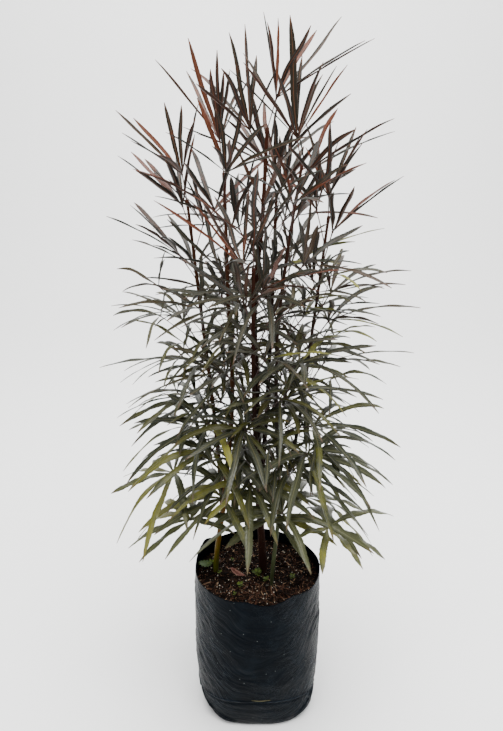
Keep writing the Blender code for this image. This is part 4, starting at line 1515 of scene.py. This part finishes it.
def shape_leaflet(bm, blade, share, draw):
    """One leaflet, from a grid three faces wide: a half blade, the midrib and the other half."""
    phase, value = draw.uniform(0, 2 * math.pi), draw.random()
    waves = draw.uniform(*WAVES)
    twist = either_way(draw, TWIST)
    rank, value = rank_and_tint(blade, share, value, draw)
    weave = either_way(draw, WEAVE)
    slim = 1 - SLIMMER_MIDDLE * math.sin(math.pi * share)
    for vert in lay_grid(bm, 3, LEAFLET_ROWS):
        row = round((vert.co.y + 0.5) * LEAFLET_ROWS)
        side = math.copysign(1, vert.co.x)
        t = row_share(row)
        is_edge = abs(vert.co.x) > 0.3
        is_tooth = 0 < row < LEAFLET_ROWS and (row % 2 == 0) == (side > 0)
        if is_edge and is_tooth:
            t = min(0.99, t + TOOTH_LEAN)
        flat, normal = blade.frame(t)
        across = flat * math.cos(twist * t) + normal * math.sin(twist * t)
        over = normal * math.cos(twist * t) - flat * math.sin(twist * t)
        half = max(NARROW_FOOT * (1 - t) + NARROW_TIP, blade.half_width(t, *STRAP_POWERS) * slim)
        rib = min(WIDEST_MIDRIB * half, mix(MIDRIB_HALF, share) * (1 - MIDRIB_TAPER * t))
        bow = math.sin(math.pi * t)
        middle = blade.at(t) + flat * weave * bow * math.sin(WEAVE_ANGLE * t + phase)
        if not is_edge:
            vert.co = middle - across * side * rib + over * MIDRIB_RISE * (1 - t)
        else:
            reach = half if is_tooth or row in (0, LEAFLET_ROWS) else half * (1 - mix(TOOTH_DEPTH, share))
            ripple = math.sin(2 * math.pi * waves * t + phase + side) * bow
            lift = half * mix(FOLD, share) + blade.width * mix(WAVE_HEIGHT, share) * ripple
            vert.co = middle - across * side * reach + over * lift
        vert[bm.verts.layers.float["rank"]] = rank
        vert[bm.verts.layers.float["tint"]] = value


EXTRA_TRIES = 6
# How many of the gaps between main leaflets hold another one, low down and at the top.
EXTRA_SHARE = (0.82, 0.80)
# Just below the crown there are fewer of them: at what share of the height, by how much, how wide.
EXTRA_DIP = (0.72, 0.55, 0.14)
EXTRA_SIZE = 0.86
# None of these has a low tip over the left half of the bag, where the canes' feet show.
CLEAR_SPAN = (-0.15, 0.02)
LOWEST_EXTRA = 0.42
EXTRA_SEED = 31


def draw_extra(draw, leaf, taken):
    """The smaller leaflets between a leaf's main ones, where they find room."""
    found = []
    middle, dip, width = EXTRA_DIP
    chance = mix(EXTRA_SHARE, leaf.share) - dip * math.exp(-(((leaf.share - middle) / width) ** 2))
    size = leaf.size * EXTRA_SIZE
    for i in range(MAIN_LEAFLETS):
        turn = 2 * math.pi * (i + 0.5) / MAIN_LEAFLETS
        for attempt in range(EXTRA_TRIES) if draw.random() < chance else ():
            blade = draw_blade(draw, leaf.whorl, turn, leaf.share, size, attempt / (EXTRA_TRIES - 1))
            tip = blade.at(1.0)
            is_in_the_way = CLEAR_SPAN[0] < tip.x < CLEAR_SPAN[1] and tip.z < LOWEST_EXTRA
            if not is_in_the_way and take_room(blade, taken):
                found.append(blade)
                break
    return found


def leaf_finish(name, common, other, rib, tip, roughness):
    """Leathery leaf skin. Its three ramps run from the oldest leaves to the youngest."""
    skin = new_finish(name, ior=1.45, roughness=roughness, specular_ior_level=0.28)
    place = add(skin, "TexCoord").outputs["Object"]
    age = add(skin, "Attribute", attribute_name="rank").outputs["Fac"]
    tint = add(skin, "Attribute", attribute_name="tint").outputs["Fac"]
    uv = add(skin, "SeparateXYZ", {"Vector": add(skin, "UVMap", uv_map="leaf").outputs["UV"]})
    blotch = add(skin, "TexNoise", {"Vector": place, "Scale": 38, "Detail": 4, "Roughness": 0.6})
    # Yellowing and reddening come in blotches some 2 cm long, on some leaflets more than others.
    sum_of = add(skin, "Math", {0: blotch.outputs["Fac"], 1: tint}, operation="ADD")
    patch = add(skin, "MapRange", {"Value": sum_of.outputs[0], "From Min": 1.04, "From Max": 1.26})
    first = add(skin, "ValToRGB", {"Fac": age}, stops=common)
    second = add(skin, "ValToRGB", {"Fac": age}, stops=other)
    blade = add(
        skin,
        "Mix",
        {
            "Factor": patch.outputs["Result"],
            COLOUR_A: first.outputs["Color"],
            COLOUR_B: second.outputs["Color"],
        },
        data_type="RGBA",
    )
    # The tips of the leaflets dry pink and tan.
    end = {"Value": uv.outputs["Y"], "From Min": 0.90, "From Max": 1.0, "To Max": 0.4}
    dried = add(skin, "MapRange", end)
    tipped = add(
        skin,
        "Mix",
        {"Factor": dried.outputs["Result"], COLOUR_A: blade.outputs[COLOUR_OUT], COLOUR_B: tip},
        data_type="RGBA",
    )
    # The middle third of the UV map is the midrib.
    off_centre = add(skin, "Math", {0: uv.outputs["X"], 1: 0.5}, operation="SUBTRACT")
    distance = add(skin, "Math", {0: off_centre.outputs[0]}, operation="ABSOLUTE")
    on_rib = add(
        skin,
        "MapRange",
        {"Value": distance.outputs[0], "From Min": 0.14, "From Max": 0.20, "To Min": 0.62, "To Max": 0.0},
    )
    rib_tone = add(skin, "ValToRGB", {"Fac": age}, stops=rib)
    veined = add(
        skin,
        "Mix",
        {
            "Factor": on_rib.outputs["Result"],
            COLOUR_A: tipped.outputs[COLOUR_OUT],
            COLOUR_B: rib_tone.outputs["Color"],
        },
        data_type="RGBA",
    )
    # Side veins leave the midrib at a slant, one for each tooth and one between.
    slant = add(skin, "Math", {0: distance.outputs[0], 1: -0.10, 2: 0.0}, operation="MULTIPLY_ADD")
    run = add(skin, "Math", {0: uv.outputs["Y"], 1: slant.outputs[0]}, operation="ADD")
    beat = add(skin, "Math", {0: run.outputs[0], 1: 2 * math.pi * 2 * TEETH}, operation="MULTIPLY")
    ridge = add(skin, "Math", {0: beat.outputs[0]}, operation="SINE")
    grain = add(skin, "TexNoise", {"Vector": place, "Scale": 700, "Detail": 2})
    rough_skin = add(skin, "Math", {0: grain.outputs["Fac"], 1: 0.8}, operation="MULTIPLY")
    surface = add(skin, "Math", {0: ridge.outputs[0], 1: rough_skin.outputs[0]}, operation="ADD")
    relief = add(skin, "Bump", {"Height": surface.outputs[0], "Strength": 0.35, "Distance": 0.0003})
    into_shader(skin, Base_Color=veined.outputs[COLOUR_OUT], Normal=relief.outputs["Normal"])
    return skin


upper_skin = leaf_finish(
    "bronze_green_leaf_upper",
    common=(
        (0.0, "#424429"),
        (0.25, "#24271A"),
        (0.50, "#2D2D22"),
        (0.70, "#24231C"),
        (0.84, "#1B1A12"),
        (1.0, "#1E1910"),
    ),
    other=(
        (0.0, "#666428"),
        (0.25, "#3C3D13"),
        (0.50, "#2C2814"),
        (0.70, "#281A0D"),
        (0.84, "#3F1B0B"),
        (1.0, "#4C230E"),
    ),
    rib=((0.0, "#5A5A36"), (0.50, "#4A4230"), (0.75, "#422C1C"), (1.0, "#643E28")),
    tip="#66402E",
    roughness=0.36,
)
under_skin = leaf_finish(
    "dull_green_leaf_underside",
    common=((0.0, "#444A38"), (0.25, "#32362C"), (0.50, "#2E2E2A"), (0.72, "#1F1C16"), (1.0, "#1C150E")),
    other=((0.0, "#5E5C2A"), (0.25, "#3C3C24"), (0.50, "#302A20"), (0.72, "#281910"), (1.0, "#2D160A")),
    rib=((0.0, "#62624A"), (0.50, "#54503E"), (0.75, "#523626"), (1.0, "#683C28")),
    tip="#6E4A36",
    roughness=0.5,
)

extra_draw = random.Random(EXTRA_SEED)
for node in BARKS:
    bm = new_shape("rank", "tint", uv_map="leaf")
    for main, inner in leaves_of(node):
        for leaf in main:
            for blade in leaf.blades + draw_extra(extra_draw, leaf, taken):
                shape_leaflet(bm, blade, leaf.share, extra_draw)
        for leaf in inner:
            for blade in leaf.blades:
                shape_leaflet(bm, blade, leaf.share, extra_draw)
    leaflets = new_piece(node + "_leaflets", bm, [upper_skin, under_skin], "foliage", node)
    thicken(leaflets, LEAFLET_THICKNESS, under=1)

# Weeds
# Chickweed and its like sprout in the compost: limp juicy stalks with small round leaves, notched
# round their edges. The one beside the left cane already has one big leaf.
WEED_STALK = 0.0005
WEED_STALK_TAPER = 0.7
WEED_SIDES = 5
WEED_FOOT = 0.278
# A leaf's notches, cup and fold, as shares of its radius, and its width to its length.
WEED_NOTCH = 0.16
WEED_CUP = 0.34
WEED_FOLD = 0.16
WEED_LEAF_WIDTH = 0.86
WEED_LEAF_ROWS = 12
# Where the lowest leaf and the topmost leave the stalk, then the rise and the reach of the topmost
# leaf and the lowest.
WEED_STARTS = (0.72, 1.0)
WEED_RISES = (0.9, 0.25)
WEED_REACHES = (0.4, 1.15)
# Chance turns a leaf by up to this much, in radians, and draws its size and its tint between these.
WEED_TURN = 0.3
WEED_SIZES = (0.75, 1.1)
WEED_TINTS = (0, 0.6)
BIG_LEAF_RADIUS = 0.0120
BIG_LEAF_HEADING = Vector((-0.95, -0.26, 0.10)).normalized()
BIG_LEAF_HEIGHT = 0.45
BIG_LEAF_NOTCHES = 13
BIG_LEAF_TINT = 0.72
WEED_SEED = 61
# Name, CAD node, place, stalk height, leaf radius, leaves, notches, and how far the leaves reach.
WEEDS = (
    ("weed_left", "seedling_left", (-0.086, 0.024), 0.008, 0.0032, 5, 7, 0.0062),
    ("weed_middle", "seedling_middle", (0.000, -0.009), 0.006, 0.0038, 12, 6, 0.0084),
    ("weed_front", "seedling_front", (-0.031, -0.040), 0.005, 0.0027, 8, 5, 0.0052),
    ("weed_stem", "seedling_stem", (0.0155, -0.026), 0.007, 0.0027, 8, 5, 0.0054),
    ("weed_right", "seedling_right", (0.064, -0.017), 0.005, 0.0026, 8, 5, 0.0052),
    ("weed_sprout_front", None, (-0.0405, -0.064), 0.005, 0.0019, 5, 4, 0.0034),
    ("weed_sprout_back", None, (-0.047, 0.034), 0.005, 0.0019, 5, 4, 0.0034),
    ("weed_sprout_cane", None, (-0.069, -0.004), 0.006, 0.0019, 5, 4, 0.0034),
)


def weed_leaf(bm, base, heading, radius, notches, value):
    """A cupped round leaf: a grid drawn out to a disc whose rim is notched."""
    side = heading.cross(UP).normalized()
    over = side.cross(heading).normalized()
    for vert in lay_grid(bm, WEED_LEAF_ROWS, WEED_LEAF_ROWS, size=1.0):
        u, v = vert.co.x, vert.co.y
        x, y = u * math.sqrt(1 - v * v / 2), v * math.sqrt(1 - u * u / 2)
        reach = math.hypot(x, y)
        notch = 1 + WEED_NOTCH * reach**3 * math.cos(notches * math.atan2(y, x))
        cup = radius * (WEED_CUP * reach**2 - WEED_FOLD * abs(x))
        flat = heading * (1 + y * notch) + side * (WEED_LEAF_WIDTH * x * notch)
        vert.co = base + flat * radius + over * cup
        vert[bm.verts.layers.float["tint"]] = value


def shape_weed(bm, draw, place, height, radius, count, notches, spread):
    """A limp stalk in the soil with leaves on short stalks of their own round its upper half."""
    foot = Vector((*place, WEED_FOOT))
    top = Vector((*place, crumb_height(*place) + height))
    stalks = [(foot, top)]
    for i in range(count):
        angle = 2 * math.pi * i * GOLDEN_SHARE + either_way(draw, WEED_TURN)
        share = (i + 0.5) / count
        start = foot.lerp(top, mix(WEED_STARTS, 1 - share))
        heading = (polar(1.0, angle) + UP * mix(WEED_RISES, share)).normalized()
        end = start + heading * ((spread - radius) * mix(WEED_REACHES, share))
        stalks.append((start, end))
        size = radius * draw.uniform(*WEED_SIZES)
        weed_leaf(bm, end, heading, size, notches, draw.uniform(*WEED_TINTS))
    for low, high in stalks:
        turn = (high - low).to_track_quat("Z", "Y").to_matrix().to_4x4()
        bmesh.ops.create_cone(
            bm,
            cap_ends=True,
            segments=WEED_SIDES,
            radius1=WEED_STALK,
            radius2=WEED_STALK * WEED_STALK_TAPER,
            depth=(high - low).length,
            matrix=Matrix.Translation((low + high) / 2) @ turn,
        )


# Juicy leaf: bright soft green, mottled with a paler one, with a faint waxy gloss.
weed_green = new_finish("young_weed_leaf", roughness=0.45, ior=1.42)
place = add(weed_green, "TexCoord").outputs["Object"]
tint = add(weed_green, "Attribute", attribute_name="tint").outputs["Fac"]
mottle = add(weed_green, "TexNoise", {"Vector": place, "Scale": 420, "Detail": 3})
blend = add(weed_green, "Math", {0: mottle.outputs["Fac"], 1: 0.5, 2: tint}, operation="MULTIPLY_ADD")
colour = add(
    weed_green,
    "ValToRGB",
    {"Fac": blend.outputs[0]},
    stops=((0.15, "#2C3A05"), (0.50, "#4A5C08"), (0.80, "#647820"), (1.0, "#506A40")),
)
relief = add(weed_green, "Bump", {"Height": mottle.outputs["Fac"], "Strength": 0.5, "Distance": 0.0004})
into_shader(weed_green, Base_Color=colour.outputs["Color"], Normal=relief.outputs["Normal"])

for number, (name, node, place, height, radius, count, notches, spread) in enumerate(WEEDS):
    bm = new_shape("tint", uv_map="leaf")
    shape_weed(bm, random.Random(WEED_SEED + number), place, height, radius, count, notches, spread)
    if node == "seedling_left":
        start = Vector((*place, crumb_height(*place) + height * BIG_LEAF_HEIGHT))
        weed_leaf(bm, start, BIG_LEAF_HEADING, BIG_LEAF_RADIUS, BIG_LEAF_NOTCHES, BIG_LEAF_TINT)
    new_piece(name, bm, [weed_green], "seedling", *([node] if node else []))

# Fallen leaflet
# A piece of an old leaflet that has dried pinkish brown, folded along its midrib and curled up at
# both ends, and the thread of its stalk. It lies on the compost.
FALLEN_CENTRE = (-0.036, -0.004)
FALLEN_LENGTH = 0.038
FALLEN_HALF_WIDTH = 0.0056
FALLEN_TURN = -42.0
# Its widest place is this share of its half length off the middle, towards its foot.
FALLEN_SKEW = 0.1
FALLEN_ROUNDNESS = 2.4
FALLEN_POINT = 0.03
FALLEN_FOLD = 0.0020
FALLEN_WRINKLE = 0.0004
FALLEN_BEND = 0.006
# How high its two ends curl up, and how far its middle is above its solid's lowest point.
FOOT_CURL = 0.0042
TIP_CURL = 0.0060
FALLEN_LIFT = 0.0006
FALLEN_THICKNESS = 0.0004
FALLEN_ROWS = 16

centre = Vector((*FALLEN_CENTRE, 0))
along = polar(1.0, math.radians(FALLEN_TURN))
across = UP.cross(along)
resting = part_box("fallen_leaflet")[0][2]
bm = new_shape(uv_map="leaf")
for vert in lay_grid(bm, 4, FALLEN_ROWS):
    t, u = vert.co.y, 2 * vert.co.x
    width = FALLEN_HALF_WIDTH * max(FALLEN_POINT, 1 - abs(2 * t + FALLEN_SKEW) ** FALLEN_ROUNDNESS)
    curl = 4 * (FOOT_CURL if t < 0 else TIP_CURL) * t * t
    wrinkle = FALLEN_WRINKLE * math.sin(19 * t + 3 * u)
    fold = FALLEN_FOLD * abs(u) ** 1.3 * math.cos(math.pi * t) + wrinkle
    spot = centre + along * FALLEN_LENGTH * t + across * (width * u + FALLEN_BEND * t * t)
    vert.co = Vector((spot.x, spot.y, resting + curl + fold + FALLEN_LIFT))

# Dead leaf: dry and matt, dusty pinkish brown, darker along its midrib and bleached at its edges.
dead_leaf = new_finish("dried_leaflet", roughness=0.75, specular_ior_level=0.3)
place = add(dead_leaf, "TexCoord").outputs["Object"]
uv = add(dead_leaf, "SeparateXYZ", {"Vector": add(dead_leaf, "UVMap", uv_map="leaf").outputs["UV"]})
fibre = add(dead_leaf, "TexNoise", {"Vector": place, "Scale": 350, "Detail": 4})
off_centre = add(dead_leaf, "Math", {0: uv.outputs["X"], 1: 0.5}, operation="SUBTRACT")
distance = add(dead_leaf, "Math", {0: off_centre.outputs[0]}, operation="ABSOLUTE")
wear_and_highlight = add(dead_leaf, "Math", {0: distance.outputs[0], 1: fibre.outputs["Fac"]}, operation="ADD")
colour = add(
    dead_leaf,
    "ValToRGB",
    {"Fac": wear_and_highlight.outputs[0]},
    stops=((0.40, "#48261E"), (0.62, "#744438"), (0.82, "#8C5C4F"), (1.0, "#A07668")),
)
relief = add(dead_leaf, "Bump", {"Height": fibre.outputs["Fac"], "Strength": 0.6, "Distance": 0.0004})
into_shader(dead_leaf, Base_Color=colour.outputs["Color"], Normal=relief.outputs["Normal"])
dry_blade = new_piece("fallen_leaflet_blade", bm, [dead_leaf], "dry_leaf", "fallen_leaflet")
thicken(dry_blade, FALLEN_THICKNESS)

# The stalk's thread goes on from the leaflet's left end and curls up on the compost.
THREAD_RADIUS = 0.0007
THREAD_LENGTH = 0.016
THREAD_POINTS = 14
THREAD_START = 0.47
THREAD_TURN = 50
THREAD_TAPER = 0.5
line = new_line("fallen_leaflet_thread", THREAD_RADIUS, dead_leaf)
spline = line.splines.new("POLY")
spline.points.add(THREAD_POINTS - 1)
spot = centre - along * FALLEN_LENGTH * THREAD_START
for i, point in enumerate(spline.points):
    t = i / (THREAD_POINTS - 1)
    turn = math.radians(FALLEN_TURN + 180 - THREAD_TURN * t * t)
    heading = Matrix.Rotation(turn, 4, "Z") @ Vector((1, 0, 0))
    spot += heading * THREAD_LENGTH / THREAD_POINTS
    # It comes down from the leaflet's raised foot in the first third of its length.
    lift = mix((FOOT_CURL, THREAD_RADIUS), min(1.0, 3 * t))
    point.co = (spot.x, spot.y, crumb_height(spot.x, spot.y) + lift, 1)
    point.radius = 1 - THREAD_TAPER * t
set_down("fallen_leaflet_thread", line, "dry_leaf")
